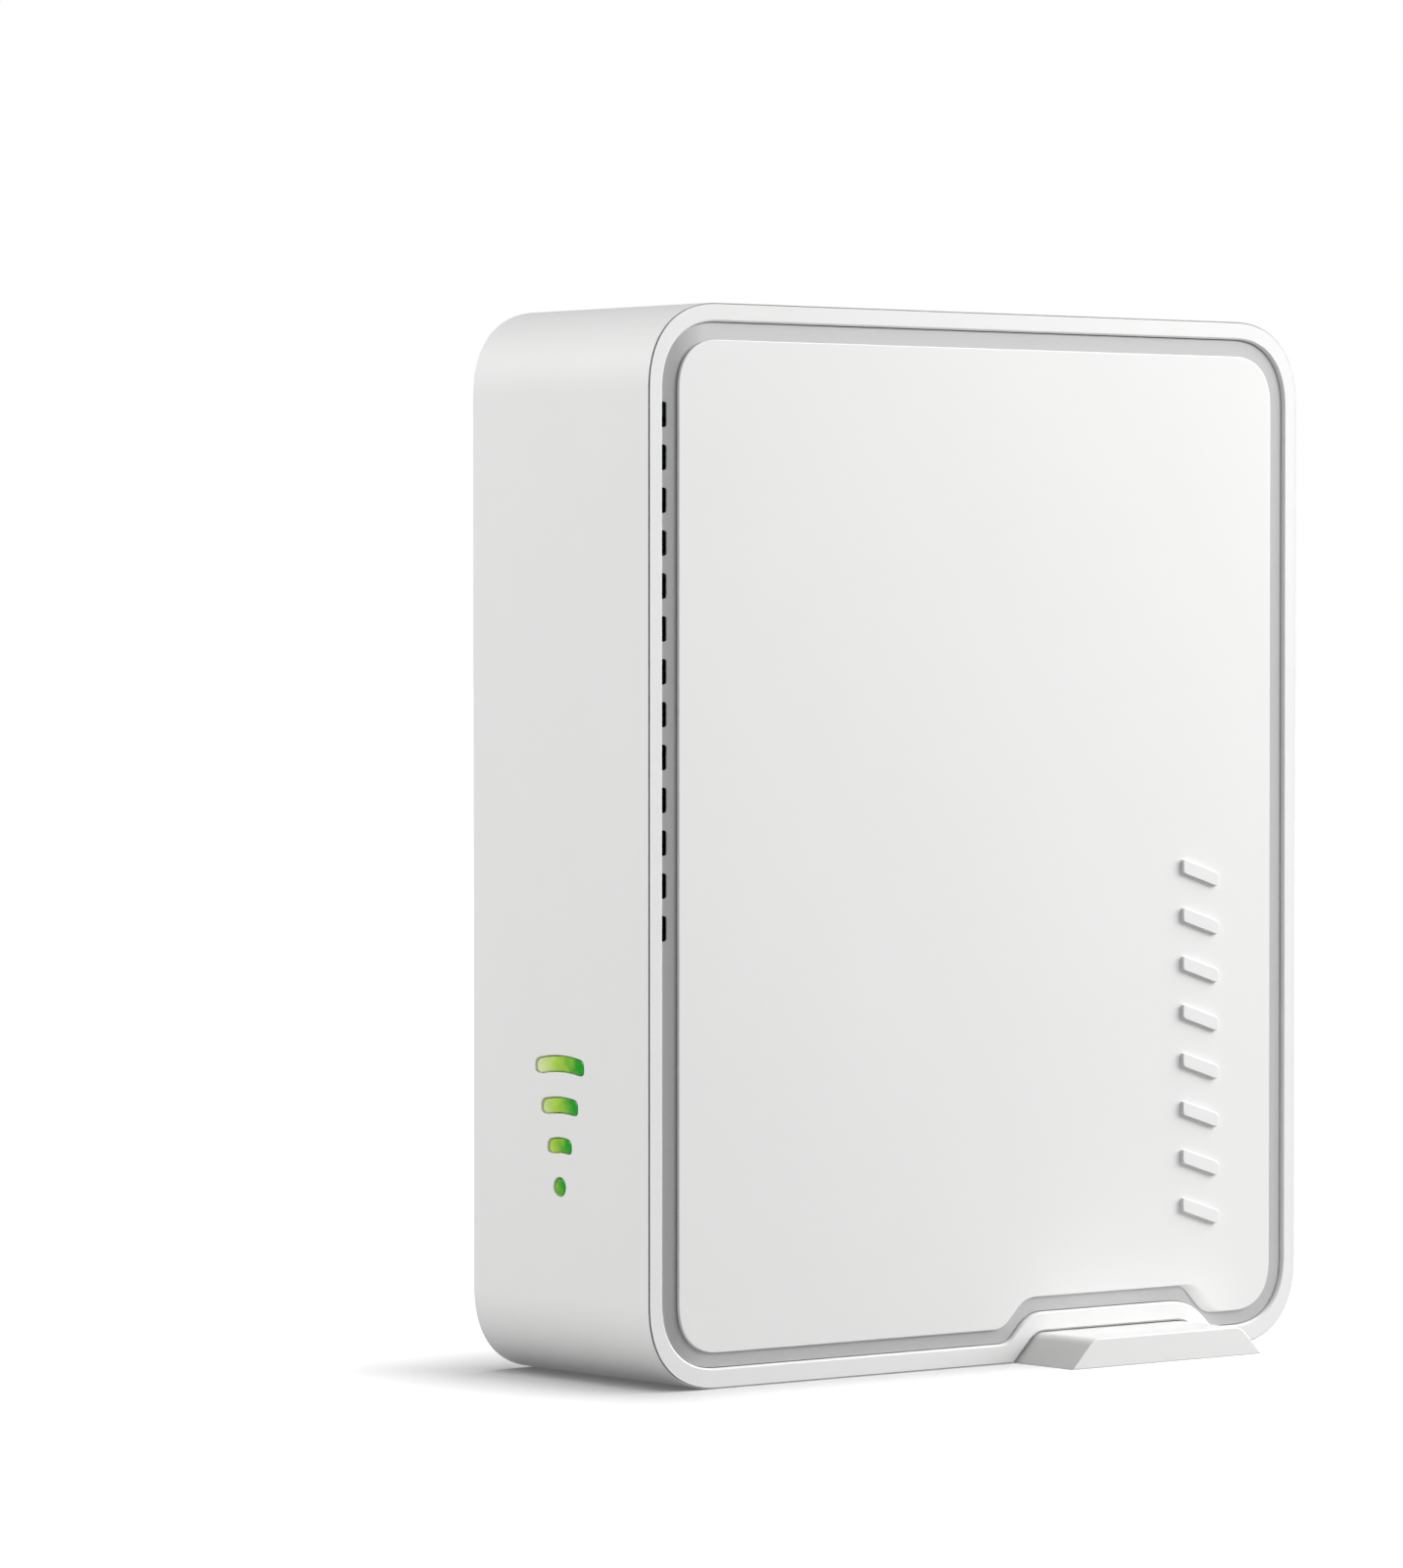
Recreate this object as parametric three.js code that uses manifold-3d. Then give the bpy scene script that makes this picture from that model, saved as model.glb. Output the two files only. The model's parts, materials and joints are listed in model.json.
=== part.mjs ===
// An upright wireless router: a slim rounded box that stands on its narrow edge.
// Millimetres, +Z up. The large front face looks along -Y, the status lights are on
// the -X side, and the sockets and switches are on the +X side. The origin lies on the
// ground, under the middle of the case.

import * as THREE from 'three';
import { mergeVertices } from 'three/addons/utils/BufferGeometryUtils.js';
import Module from 'manifold-3d';

const wasm = await Module();
wasm.setup();

// ---------------------------------------------------------------- driving dimensions

const CASE_WIDTH = 122;
const CASE_HEIGHT = 150;
const CASE_DEPTH = 40;
const CORNER_REACH = 12.5;
const CORNER_POWER = 2.35;
const CORNER_STEPS = 8;
const WALL = 2.2;
const PARTING_SHIFT = 0.21;
const GAP = 0.3;
const SEAT_GAP = 0.1;
const OVERCUT = 1;

// Distances in from the outline of the case, to the inner edge of the front rim and to
// the edge of the front panel.
const RIM = { side: 2.52, top: 2.62, bottom: 2.87, notch: 2.78 };
const RIM_CHAMFER = 0.25;
const PANEL = { side: 5.3, top: 5.1, bottom: 5.0, notch: 5.0 };
const PANEL_RAMP = 2.6;

// The rounded edge of the front panel, from its face back.
const PANEL_EDGE = [
  { depth: 0, inset: 0.17, ramp: 0 },
  { depth: 0.05, inset: 0.035, ramp: 0.6 },
  { depth: 0.12, inset: 0, ramp: 1.15 },
];

// The ring lies in the groove between them, and falls a little towards the rim.
const GROOVE_DEPTH = 0.5;
const GROOVE_FALL = 0.12;
const RING_THICKNESS = 1.1;
const RING_CLEARANCE = 0.2;
const RING_LAP = 0.15;
const COVER_FLOOR = 1.5;
const BACK_THICKNESS = 2.1;
const MITRE_DEPTH = 1.7;

// The notch under the case that the stand foot passes through.
const NOTCH_LEFT = 5.6;
const NOTCH_RIGHT = 43.3;
const NOTCH_HEIGHT = 4.3;
const NOTCH_SLOPE = Math.PI / 4;
const CASE_BENDS = { base: 0.3, left: 1.8, right: 1.8 };
const RIM_BENDS = { base: 1.3, left: 2.6, right: 4.0 };
const PANEL_BENDS = { base: 1.6, left: 2.2, right: 1.5 };
const BEND_STEPS = 5;

const FOOT_LENGTH = 64.3;
const FOOT_HEIGHT = 4.05;
const FOOT_EDGE = 1.35;
const FOOT_END_CHAMFER = 0.25;
const FOOT_CENTRE_X = (NOTCH_LEFT + NOTCH_RIGHT) / 2;
const PEG = { width: 8, depth: 3, offset: 10, top: 8.2, barb: 0.8, barbTop: 7.8 };

// The vent slots of the ring open into a pocket behind them. Inner and outer are
// distances from the left side of the case.
const VENT = { count: 13, pitch: 5.883, top: 134.45, length: 3.5, inner: 3.65, reach: 2, corner: 0.45 };
const VENT_POCKET = { outer: 2.95, inner: 5.8, spare: 0.55, skin: 0.2 };
const VENT_SLIT_OUTER = 2.8;

const RIBS = { count: 8, pitch: 7.05, low: 18, left: 38, right: 45, thickness: 2.0, slant: 2.2, rise: 0.6 };

// Status light marks on the -X side, from the top one down.
const MARKS = [
  { name: 'large', halfWidth: 5.37, top: 45.55, thickness: 2.1, sag: 0.6 },
  { name: 'medium', halfWidth: 4.0, top: 39.75, thickness: 2.1, sag: 0.4 },
  { name: 'small', halfWidth: 2.6, top: 34.1, thickness: 2.0, sag: 0.35 },
];
const DOT_MARK = { name: 'dot', radius: 1.25, z: 27.3 };
const MARK_CORNER = 0.45;
const LIGHTS = [...MARKS, DOT_MARK];
const LENS = { face: 60.85, back: 52.0, clearance: 0.2 };
const HOLDER = { outer: 58.4, inner: 50.7, halfWidth: 7.5, low: 24, high: 48.5 };

// The main board stands upright, with its components on the side of the front face.
const BOARD = { left: -46, right: 56.5, low: 15, high: 135, front: 6, thickness: 1.6 };
const BOARD_FACE = BOARD.front - SEAT_GAP;
const BOARD_BACK = BOARD.front + BOARD.thickness;

// Bosses of the front cover, which take the cover screws.
const BOSS_PLACES = [[-52, 9.5], [-52, 140.5], [52, 9.5], [52, 140.5]];
const BOSS_RADIUS = 3;
const PILOT = { radius: 1.3, depth: 8, sides: 12 };

// The socket side: one plate in a window of the side band.
const PLATE = { halfWidth: 12.7, low: 13.3, high: 136.7, face: 60.4, skin: 1.5, flange: 57.6, lip: 1.8 };
const JACK = { width: 16, low: -7.6, face: 60, back: 39, depth: 15 };
const JACK_MOUTH = { halfWidth: 6, low: -3.2, high: 4.4, latchHalfWidth: 3.2, latchLow: -6.0 };
const WAN_Z = 50;
const LAN_Z = [72, 90, 108];
const PLATE_CORNER = 2.5;
const DC = { z: 20, face: 60, back: 46, wall: 1.5, halfWidth: 4.5, bore: 3.1, boreDepth: 10, pin: 1.0 };
const POWER = { z: 32, pivotX: 57.5, tilt: THREE.MathUtils.degToRad(7) };
const RESET = { z: 121.6, face: 60.0, capRadius: 1.2, collarRadius: 2, stemRadius: 0.9, housing: 2.6 };
const WPS = { z: 129.6, face: 61.0, capRadius: 3.0, collarRadius: 4, stemRadius: 1.5, housing: 3.4 };

const ROUND_SIDES = 20;
const SMALL_SIDES = 16;

// ---------------------------------------------------------------- geometry helpers

// Turns a closed geometry into a solid: shared corners merged, faces pointing out.
function solidOf(geometry) {
  const bare = geometry.clone();
  bare.deleteAttribute('normal');
  bare.deleteAttribute('uv');
  const merged = mergeVertices(bare, 1e-4);
  const points = merged.attributes.position.array;
  const corner = (i) => new THREE.Vector3().fromArray(points, 3 * i);
  const triangles = [];
  let volume = 0;
  for (let i = 0; i < merged.index.count; i += 3) {
    const [a, b, c] = merged.index.array.slice(i, i + 3);
    if (a === b || b === c || c === a) continue;
    triangles.push([a, b, c]);
    volume += corner(a).dot(corner(b).cross(corner(c)));
  }
  const outward = volume > 0 ? triangles : triangles.map(([a, b, c]) => [a, c, b]);
  return new wasm.Manifold(new wasm.Mesh({
    numProp: 3,
    vertProperties: new Float32Array(points),
    triVerts: new Uint32Array(outward.flat()),
  }));
}

function geometryOf(solid) {
  const { vertProperties, triVerts } = solid.getMesh();
  const geometry = new THREE.BufferGeometry();
  geometry.setAttribute('position', new THREE.BufferAttribute(vertProperties, 3));
  geometry.setIndex(new THREE.BufferAttribute(triVerts, 1));
  return geometry;
}

const joined = (solids) => solids.reduce((whole, solid) => whole.add(solid));
const cutBy = (solid, tools) => tools.reduce((rest, tool) => rest.subtract(tool), solid);

// A block between two corners.
function block([x0, x1], [y0, y1], [z0, z1]) {
  const geometry = new THREE.BoxGeometry(x1 - x0, y1 - y0, z1 - z0);
  return solidOf(geometry.translate((x0 + x1) / 2, (y0 + y1) / 2, (z0 + z1) / 2));
}

// A flat outline pushed along an axis. Its points are (X, Z) for the y axis, (Y, Z) for
// the x axis and (X, Y) for the z axis.
function prism(points, axis, [low, high], holes = []) {
  const shape = new THREE.Shape(points.map(([u, v]) => new THREE.Vector2(u, v)));
  shape.holes = holes.map((hole) => new THREE.Path(hole.map(([u, v]) => new THREE.Vector2(u, v))));
  const geometry = new THREE.ExtrudeGeometry(shape, { depth: high - low, bevelEnabled: false });
  const x = new THREE.Vector3(1, 0, 0);
  const y = new THREE.Vector3(0, 1, 0);
  const z = new THREE.Vector3(0, 0, 1);
  const turns = {
    x: new THREE.Matrix4().makeBasis(y, z, x).setPosition(low, 0, 0),
    y: new THREE.Matrix4().makeBasis(x, z, y.clone().negate()).setPosition(0, high, 0),
    z: new THREE.Matrix4().makeTranslation(0, 0, low),
  };
  return solidOf(geometry.applyMatrix4(turns[axis]));
}

// A solid through several outlines, one behind the other along Y, with equal point counts.
function stack(sections) {
  const count = sections[0].points.length;
  const positions = sections.flatMap(({ y, points }) => points.flatMap(([x, z]) => [x, y, z]));
  const indices = [];
  for (let s = 0; s + 1 < sections.length; s += 1) {
    for (let i = 0; i < count; i += 1) {
      const near = s * count + i;
      const nearNext = s * count + ((i + 1) % count);
      indices.push(near, near + count, nearNext, nearNext, near + count, nearNext + count);
    }
  }
  const cap = (points) => THREE.ShapeUtils.triangulateShape(
    points.map(([x, z]) => new THREE.Vector2(x, z)),
    [],
  );
  const last = (sections.length - 1) * count;
  cap(sections[0].points).forEach(([a, b, c]) => indices.push(a, b, c));
  cap(sections.at(-1).points).forEach(([a, b, c]) => indices.push(last + a, last + c, last + b));
  const geometry = new THREE.BufferGeometry();
  geometry.setAttribute('position', new THREE.Float32BufferAttribute(positions, 3));
  geometry.setIndex(indices);
  return solidOf(geometry);
}

// A turned solid: its profile is a list of [radius, distance along the axis].
function turned(profile, axis, [x, y, z], sides = ROUND_SIDES) {
  const points = profile.map(([radius, along]) => new THREE.Vector2(radius, along));
  const geometry = new THREE.LatheGeometry(points, sides);
  if (axis === 'x') geometry.rotateZ(-Math.PI / 2);
  if (axis === 'z') geometry.rotateX(Math.PI / 2);
  return solidOf(geometry.translate(x, y, z));
}

function rod(radius, axis, [low, high], [u, v], sides = ROUND_SIDES) {
  const places = { x: [0, u, v], y: [u, 0, v], z: [u, v, 0] };
  return turned([[0, low], [radius, low], [radius, high], [0, high]], axis, places[axis], sides);
}

// A rectangle with rounded corners, anticlockwise.
function roundedRectangle([u, v], width, height, radius, steps = 3) {
  const centres = [[1, -1], [1, 1], [-1, 1], [-1, -1]];
  return centres.flatMap(([signU, signV], quadrant) => {
    const centreU = u + signU * (width / 2 - radius);
    const centreV = v + signV * (height / 2 - radius);
    return Array.from({ length: steps + 1 }, (_, step) => {
      const angle = ((quadrant - 1) + step / steps) * (Math.PI / 2);
      return [centreU + radius * Math.cos(angle), centreV + radius * Math.sin(angle)];
    });
  });
}

function circle([u, v], radius, steps = ROUND_SIDES) {
  return Array.from({ length: steps }, (_, step) => {
    const angle = (2 * Math.PI * step) / steps;
    return [u + radius * Math.cos(angle), v + radius * Math.sin(angle)];
  });
}

// ---------------------------------------------------------------- case outline

// The same distance in all round.
const even = (inset) => ({ side: inset, top: inset, bottom: inset, notch: inset });
const further = (inset, more) => Object.fromEntries(
  Object.entries(inset).map(([edge, distance]) => [edge, distance + more]),
);

// A quarter of a superellipse, which starts its turn at quadrant x 90 degrees.
function softCorner(x, z, reach, quadrant) {
  return Array.from({ length: CORNER_STEPS + 1 }, (_, step) => {
    const angle = (step / CORNER_STEPS) * (Math.PI / 2);
    const along = reach * Math.cos(angle) ** (2 / CORNER_POWER);
    const across = reach * Math.sin(angle) ** (2 / CORNER_POWER);
    const turn = quadrant * (Math.PI / 2);
    return [
      x + along * Math.cos(turn) - across * Math.sin(turn),
      z + along * Math.sin(turn) + across * Math.cos(turn),
    ];
  });
}

function bend(start, corner, end) {
  const curve = new THREE.QuadraticBezierCurve(
    new THREE.Vector2(...start),
    new THREE.Vector2(...corner),
    new THREE.Vector2(...end),
  );
  return curve.getPoints(BEND_STEPS).map((point) => [point.x, point.y]);
}

// The lower edge over the foot, from left to right: up one slope and down the other.
function notchPath(inset, bends, ramp) {
  const low = inset.bottom;
  const high = NOTCH_HEIGHT + inset.notch;
  const cos = Math.cos(NOTCH_SLOPE);
  const sin = Math.sin(NOTCH_SLOPE);
  const run = (z) => (z * cos - inset.notch) / sin;
  const left = (z) => NOTCH_LEFT + run(z);
  const right = (z) => NOTCH_RIGHT - run(z) - ramp;
  const along = (x, z, distance, sign) => [x + sign * distance * cos, z - distance * sin];
  const end = right(high);
  return [
    ...bend([left(low) - bends.base, low], [left(low), low], along(left(low), low, -bends.base, -1)),
    ...bend(along(left(high), high, bends.left, -1), [left(high), high], [left(high) + bends.left, high]),
    ...bend([end - bends.right, high], [end, high], along(end, high, bends.right, 1)),
    ...bend(along(right(low), low, -bends.base, 1), [right(low), low], [right(low) + bends.base, low]),
  ];
}

// The outline of the case in the X-Z plane, moved in by an inset, anticlockwise.
function outline(inset, bends = CASE_BENDS, ramp = 0) {
  const reach = CORNER_REACH - inset.side;
  const right = CASE_WIDTH / 2 - inset.side - reach;
  const low = inset.bottom + reach;
  const high = CASE_HEIGHT - inset.top - reach;
  return [
    ...notchPath(inset, bends, ramp),
    ...softCorner(right, low, reach, -1),
    ...softCorner(right, high, reach, 0),
    ...softCorner(-right, high, reach, 1),
    ...softCorner(-right, low, reach, 2),
  ];
}

// ---------------------------------------------------------------- the case

const HALF = CASE_WIDTH / 2;
const FRONT = -CASE_DEPTH / 2;
const BACK = CASE_DEPTH / 2;
const RING_FRONT = FRONT + GROOVE_DEPTH;
const RING_BACK = RING_FRONT + RING_THICKNESS;
const FLOOR_FRONT = RING_BACK + GAP;
const FLOOR_BACK = FLOOR_FRONT + COVER_FLOOR;
const BACK_INSIDE = BACK - BACK_THICKNESS;

function arcMark({ halfWidth, top, thickness, sag }, grow) {
  const steps = 8;
  const arch = (y) => top + grow - sag * (y / halfWidth) ** 2;
  const end = halfWidth + grow;
  const inner = end - MARK_CORNER;
  const upper = Array.from({ length: steps + 1 }, (_, i) => {
    const y = inner - (2 * inner * i) / steps;
    return [y, arch(y)];
  });
  const depth = thickness + 2 * grow;
  const lower = upper.map(([y, z]) => [-y, z - depth]);
  const tip = (side, drop) => [side * end, arch(end) - drop];
  return [
    tip(1, MARK_CORNER),
    ...upper,
    tip(-1, MARK_CORNER),
    tip(-1, depth - MARK_CORNER),
    ...lower,
    tip(1, depth - MARK_CORNER),
  ];
}

const markOutline = (mark, grow) => (
  mark.radius ? circle([0, mark.z], mark.radius + grow, SMALL_SIDES) : arcMark(mark, grow)
);

function sideBand() {
  const edge = FRONT + PARTING_SHIFT;
  const mitreEnd = edge + WALL;
  const outside = stack([
    { y: edge, points: outline(even(0)) },
    { y: -edge, points: outline(even(0)) },
  ]);
  const inside = stack([
    { y: edge - OVERCUT, points: outline(even(-OVERCUT)) },
    { y: mitreEnd, points: outline(even(WALL)) },
    { y: -mitreEnd, points: outline(even(WALL)) },
    { y: -edge + OVERCUT, points: outline(even(-OVERCUT)) },
  ]);
  const lights = LIGHTS.map((mark) => (
    prism(markOutline(mark, LENS.clearance), 'x', [-HALF - OVERCUT, -HALF + WALL + OVERCUT])
  ));
  const pegSlots = [-1, 1].map((side) => block(
    [FOOT_CENTRE_X - PEG.width / 2 - GAP, FOOT_CENTRE_X + PEG.width / 2 + GAP],
    [side * PEG.offset - PEG.depth / 2 - GAP, side * PEG.offset + PEG.depth / 2 + GAP],
    [NOTCH_HEIGHT - OVERCUT, NOTCH_HEIGHT + WALL + OVERCUT],
  ));
  const padSeats = BASE_PAD_PLACES.map((place) => (
    rod(BASE_PAD.radius + GAP, 'z', [-OVERCUT, BASE_PAD.thickness + GAP], place)
  ));
  return cutBy(outside, [
    inside,
    prism(plateOutline(GAP, PLATE_CORNER + GAP), 'x', [HALF - WALL - OVERCUT, HALF + OVERCUT]),
    ...lights,
    ...pegSlots,
    ...padSeats,
  ]);
}

// The outline of the socket plate in the Y-Z plane, grown by some distance.
function plateOutline(grow, radius) {
  const centre = [0, (PLATE.low + PLATE.high) / 2];
  return roundedRectangle(centre, 2 * (PLATE.halfWidth + grow), PLATE.high - PLATE.low + 2 * grow, radius);
}

// The plate behind the rim, mitred to fit the side band, on the front or the back.
function mitredPlate(face, inward, thickness) {
  const outer = { y: face, points: outline(even(PARTING_SHIFT)) };
  const mitre = face + inward * MITRE_DEPTH;
  const sections = [
    outer,
    { y: mitre, points: outline(even(PARTING_SHIFT + MITRE_DEPTH)) },
    { y: mitre, points: outline(even(WALL + GAP)) },
    { y: face + inward * thickness, points: outline(even(WALL + GAP)) },
  ];
  return stack(inward > 0 ? sections : sections.reverse());
}

// The upright space behind all the vent slots, from some distance off the left side.
function ventPocket(outer, depth) {
  const reach = VENT.length / 2 + VENT_POCKET.spare;
  const lowest = VENT.top - VENT.pitch * (VENT.count - 1);
  return block([-HALF + outer, -HALF + VENT_POCKET.inner], depth, [lowest - reach, VENT.top + reach]);
}

function frontCover() {
  const plate = mitredPlate(FRONT, 1, FLOOR_BACK - FRONT);
  const recess = stack([
    { y: FRONT - RIM_CHAMFER, points: outline(further(RIM, -2 * RIM_CHAMFER), RIM_BENDS) },
    { y: FRONT + RIM_CHAMFER, points: outline(RIM, RIM_BENDS) },
    { y: FLOOR_FRONT, points: outline(RIM, RIM_BENDS) },
  ]);
  const bosses = BOSS_PLACES.map((place) => (
    rod(BOSS_RADIUS, 'y', [FLOOR_BACK - COVER_FLOOR / 2, BACK_INSIDE - GAP], place)
  ));
  const pilots = BOSS_PLACES.map((place) => (
    rod(PILOT.radius, 'y', [PILOT.depth, BACK_INSIDE + OVERCUT], place, PILOT.sides)
  ));
  const slit = ventPocket(VENT_SLIT_OUTER, [FLOOR_FRONT - OVERCUT, FLOOR_BACK + OVERCUT]);
  return cutBy(joined([plate.subtract(recess), ...bosses]), [slit, ...pilots]);
}

function trimRing() {
  const edge = outline(further(RIM, RING_CLEARANCE), RIM_BENDS);
  const ring = stack([
    { y: RING_FRONT, points: outline(further(PANEL, RING_LAP), PANEL_BENDS) },
    { y: RING_FRONT + GROOVE_FALL, points: edge },
    { y: RING_BACK, points: edge },
  ]);
  const opening = outline(further(PANEL, WALL), PANEL_BENDS);
  const hole = stack([
    { y: RING_FRONT - OVERCUT, points: opening },
    { y: RING_BACK + OVERCUT, points: opening },
  ]);
  const slots = Array.from({ length: VENT.count }, (_, i) => {
    const centre = [-HALF + VENT.inner - VENT.reach / 2, VENT.top - i * VENT.pitch];
    const shape = roundedRectangle(centre, VENT.reach, VENT.length, VENT.corner);
    return prism(shape, 'y', [RING_FRONT - OVERCUT, RING_BACK + OVERCUT]);
  });
  const skin = RING_FRONT + GROOVE_FALL + VENT_POCKET.skin;
  return cutBy(ring, [hole, ventPocket(VENT_POCKET.outer, [skin, RING_BACK + OVERCUT]), ...slots]);
}

function slantedRib(index) {
  const low = RIBS.low + index * RIBS.pitch;
  const { left, right, thickness, slant, rise } = RIBS;
  const shape = [
    [left, low + slant], [right, low], [right, low + thickness], [left, low + slant + thickness],
  ];
  return prism(shape, 'y', [FRONT - rise, FRONT + GAP]);
}

function frontPanel() {
  const edgeBack = RING_FRONT - SEAT_GAP;
  const face = stack([
    ...PANEL_EDGE.map(({ depth, inset, ramp }) => (
      { y: FRONT + depth, points: outline(further(PANEL, inset), PANEL_BENDS, ramp) }
    )),
    { y: edgeBack, points: outline(PANEL, PANEL_BENDS, PANEL_RAMP) },
  ]);
  const inner = outline(further(PANEL, WALL + GAP), PANEL_BENDS);
  const core = stack([{ y: edgeBack - GAP, points: inner }, { y: RING_BACK, points: inner }]);
  const ribs = Array.from({ length: RIBS.count }, (_, i) => slantedRib(i));
  return joined([face, core, ...ribs]);
}

const LABEL = { place: [0, 55], width: 52, height: 30, corner: 2, seat: 0.5 };
const BACK_VENTS = { columns: [-27, 0, 27], rows: 8, low: 92, pitch: 5, length: 22, width: 2, corner: 0.95 };
const POSTS = { radius: 2.5, places: [[-30, 25], [-30, 125], [40, 25], [40, 125]] };
const SCREW_HEAD = { radius: 2.6, height: 0.9, seat: 1.1, edge: 0.25 };
const SCREW_SHANK = { radius: 1.0, tipRadius: 0.6, tip: 9, taperStart: 10, taperEnd: 11.5 };
const SCREW_CROSS = { arm: 1.5, halfWidth: 0.3, depth: 0.6 };

function backCover() {
  const plate = mitredPlate(BACK, -1, BACK_THICKNESS);
  const posts = POSTS.places.map((place) => (
    rod(POSTS.radius, 'y', [BOARD_BACK + GAP, BACK_INSIDE + GAP], place, PILOT.sides)
  ));
  const through = [BACK_INSIDE - OVERCUT, BACK + OVERCUT];
  const { columns, rows, low, pitch, length, width, corner } = BACK_VENTS;
  const vents = columns.flatMap((x) => Array.from({ length: rows }, (_, row) => (
    prism(roundedRectangle([x, low + row * pitch], length, width, corner, 2), 'y', through)
  )));
  const labelSeat = prism(labelOutline(0), 'y', [BACK - LABEL.seat, BACK + OVERCUT]);
  const screwHoles = BOSS_PLACES.flatMap((place) => [
    rod(PILOT.radius + SEAT_GAP, 'y', through, place, PILOT.sides),
    rod(SCREW_HEAD.radius + GAP, 'y', [BACK - SCREW_HEAD.seat, BACK + OVERCUT], place),
  ]);
  return cutBy(joined([plate, ...posts]), [...vents, labelSeat, ...screwHoles]);
}

const labelOutline = (inset) => roundedRectangle(
  LABEL.place,
  LABEL.width - 2 * inset,
  LABEL.height - 2 * inset,
  LABEL.corner - inset,
);
const ratingLabel = () => prism(labelOutline(GAP), 'y', [BACK - LABEL.seat + SEAT_GAP, BACK - SEAT_GAP]);

function coverScrew([x, z]) {
  const headBase = BACK - SCREW_HEAD.seat + SEAT_GAP;
  const headTop = headBase + SCREW_HEAD.height;
  const body = turned([
    [0, SCREW_SHANK.tip],
    [SCREW_SHANK.tipRadius, SCREW_SHANK.taperStart],
    [SCREW_SHANK.radius, SCREW_SHANK.taperEnd],
    [SCREW_SHANK.radius, headBase],
    [SCREW_HEAD.radius, headBase],
    [SCREW_HEAD.radius, headTop - SCREW_HEAD.edge],
    [SCREW_HEAD.radius - SCREW_HEAD.edge, headTop],
    [0, headTop],
  ], 'y', [x, 0, z]);
  const { arm, halfWidth } = SCREW_CROSS;
  const depth = [headTop - SCREW_CROSS.depth, headTop + OVERCUT];
  return cutBy(body, [
    block([x - arm, x + arm], depth, [z - halfWidth, z + halfWidth]),
    block([x - halfWidth, x + halfWidth], depth, [z - arm, z + arm]),
  ]);
}

// ---------------------------------------------------------------- foot and pads

const BASE_PAD = { radius: 4.5, thickness: 1.0 };
const BASE_PAD_PLACES = [[-38, -10], [-38, 10]];
const FOOT_PAD = { width: 18, depth: 5, thickness: 1.2, offset: 26.5, corner: 1.5 };

// The foot's section, narrower than the notch by a gap, at a given height.
function footSection(height) {
  const sin = Math.sin(NOTCH_SLOPE);
  const cos = Math.cos(NOTCH_SLOPE);
  const run = (z) => (z * cos + GAP) / sin;
  const left = NOTCH_LEFT + run(0);
  const right = NOTCH_RIGHT - run(0);
  const topLeft = NOTCH_LEFT + run(height);
  const topRight = NOTCH_RIGHT - run(height);
  return [
    [left, 0],
    [right, 0],
    ...bend(
      [topRight + FOOT_EDGE * cos, height - FOOT_EDGE * sin],
      [topRight, height],
      [topRight - FOOT_EDGE, height],
    ),
    ...bend(
      [topLeft + FOOT_EDGE, height],
      [topLeft, height],
      [topLeft - FOOT_EDGE * cos, height - FOOT_EDGE * sin],
    ),
  ];
}

function footPadOutline(side, grow) {
  const { width, depth, offset, corner } = FOOT_PAD;
  return roundedRectangle([FOOT_CENTRE_X, side * offset], width + 2 * grow, depth + 2 * grow, corner + grow);
}

function standFoot() {
  const end = FOOT_LENGTH / 2;
  const full = footSection(FOOT_HEIGHT);
  const lower = footSection(FOOT_HEIGHT - FOOT_END_CHAMFER);
  const bar = stack([
    { y: -end, points: lower },
    { y: -end + FOOT_END_CHAMFER, points: full },
    { y: end - FOOT_END_CHAMFER, points: full },
    { y: end, points: lower },
  ]);
  const pegs = [-1, 1].flatMap((side) => {
    const across = [FOOT_CENTRE_X - PEG.width / 2, FOOT_CENTRE_X + PEG.width / 2];
    const centre = side * PEG.offset;
    const near = centre - PEG.depth / 2;
    const far = centre + PEG.depth / 2;
    const barbLow = NOTCH_HEIGHT + WALL + GAP;
    const barb = side > 0 ? [far - GAP, far + PEG.barb] : [near - PEG.barb, near + GAP];
    return [
      block(across, [near, far], [FOOT_HEIGHT - GAP, PEG.top]),
      block(across, barb, [barbLow, PEG.barbTop]),
    ];
  });
  const seats = [-1, 1].map((side) => (
    prism(footPadOutline(side, GAP), 'z', [-OVERCUT, FOOT_PAD.thickness + GAP])
  ));
  return cutBy(joined([bar, ...pegs]), seats);
}

const footPad = (side) => prism(footPadOutline(side, 0), 'z', [0, FOOT_PAD.thickness]);
const basePad = (place) => rod(BASE_PAD.radius, 'z', [0, BASE_PAD.thickness], place);

// ---------------------------------------------------------------- status lights

const LED = { depth: 1.1, width: 1.6, height: 0.9 };
const LED_BOARD = { outer: 50.4, inner: 49.4, low: 24, high: 48.5, front: -7, back: 5.2 };
const RIBBON = { low: 31, high: 41, thickness: 0.3, clearance: 0.2, start: -4, end: -38.5, reach: 7 };
const markHeight = (mark) => (mark.radius ? mark.z : mark.top - mark.thickness / 2);

const ledLens = (mark) => prism(markOutline(mark, 0), 'x', [-LENS.face, -LENS.back]);

function lensHolder() {
  const body = block(
    [-HOLDER.outer, -HOLDER.inner],
    [-HOLDER.halfWidth, HOLDER.halfWidth],
    [HOLDER.low, HOLDER.high],
  );
  const channels = LIGHTS.map((mark) => (
    prism(markOutline(mark, GAP), 'x', [-HOLDER.outer - OVERCUT, -HOLDER.inner + OVERCUT])
  ));
  return cutBy(body, channels);
}

const ledBoard = () => block(
  [-LED_BOARD.outer, -LED_BOARD.inner],
  [LED_BOARD.front, LED_BOARD.back],
  [LED_BOARD.low, LED_BOARD.high],
);

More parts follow.
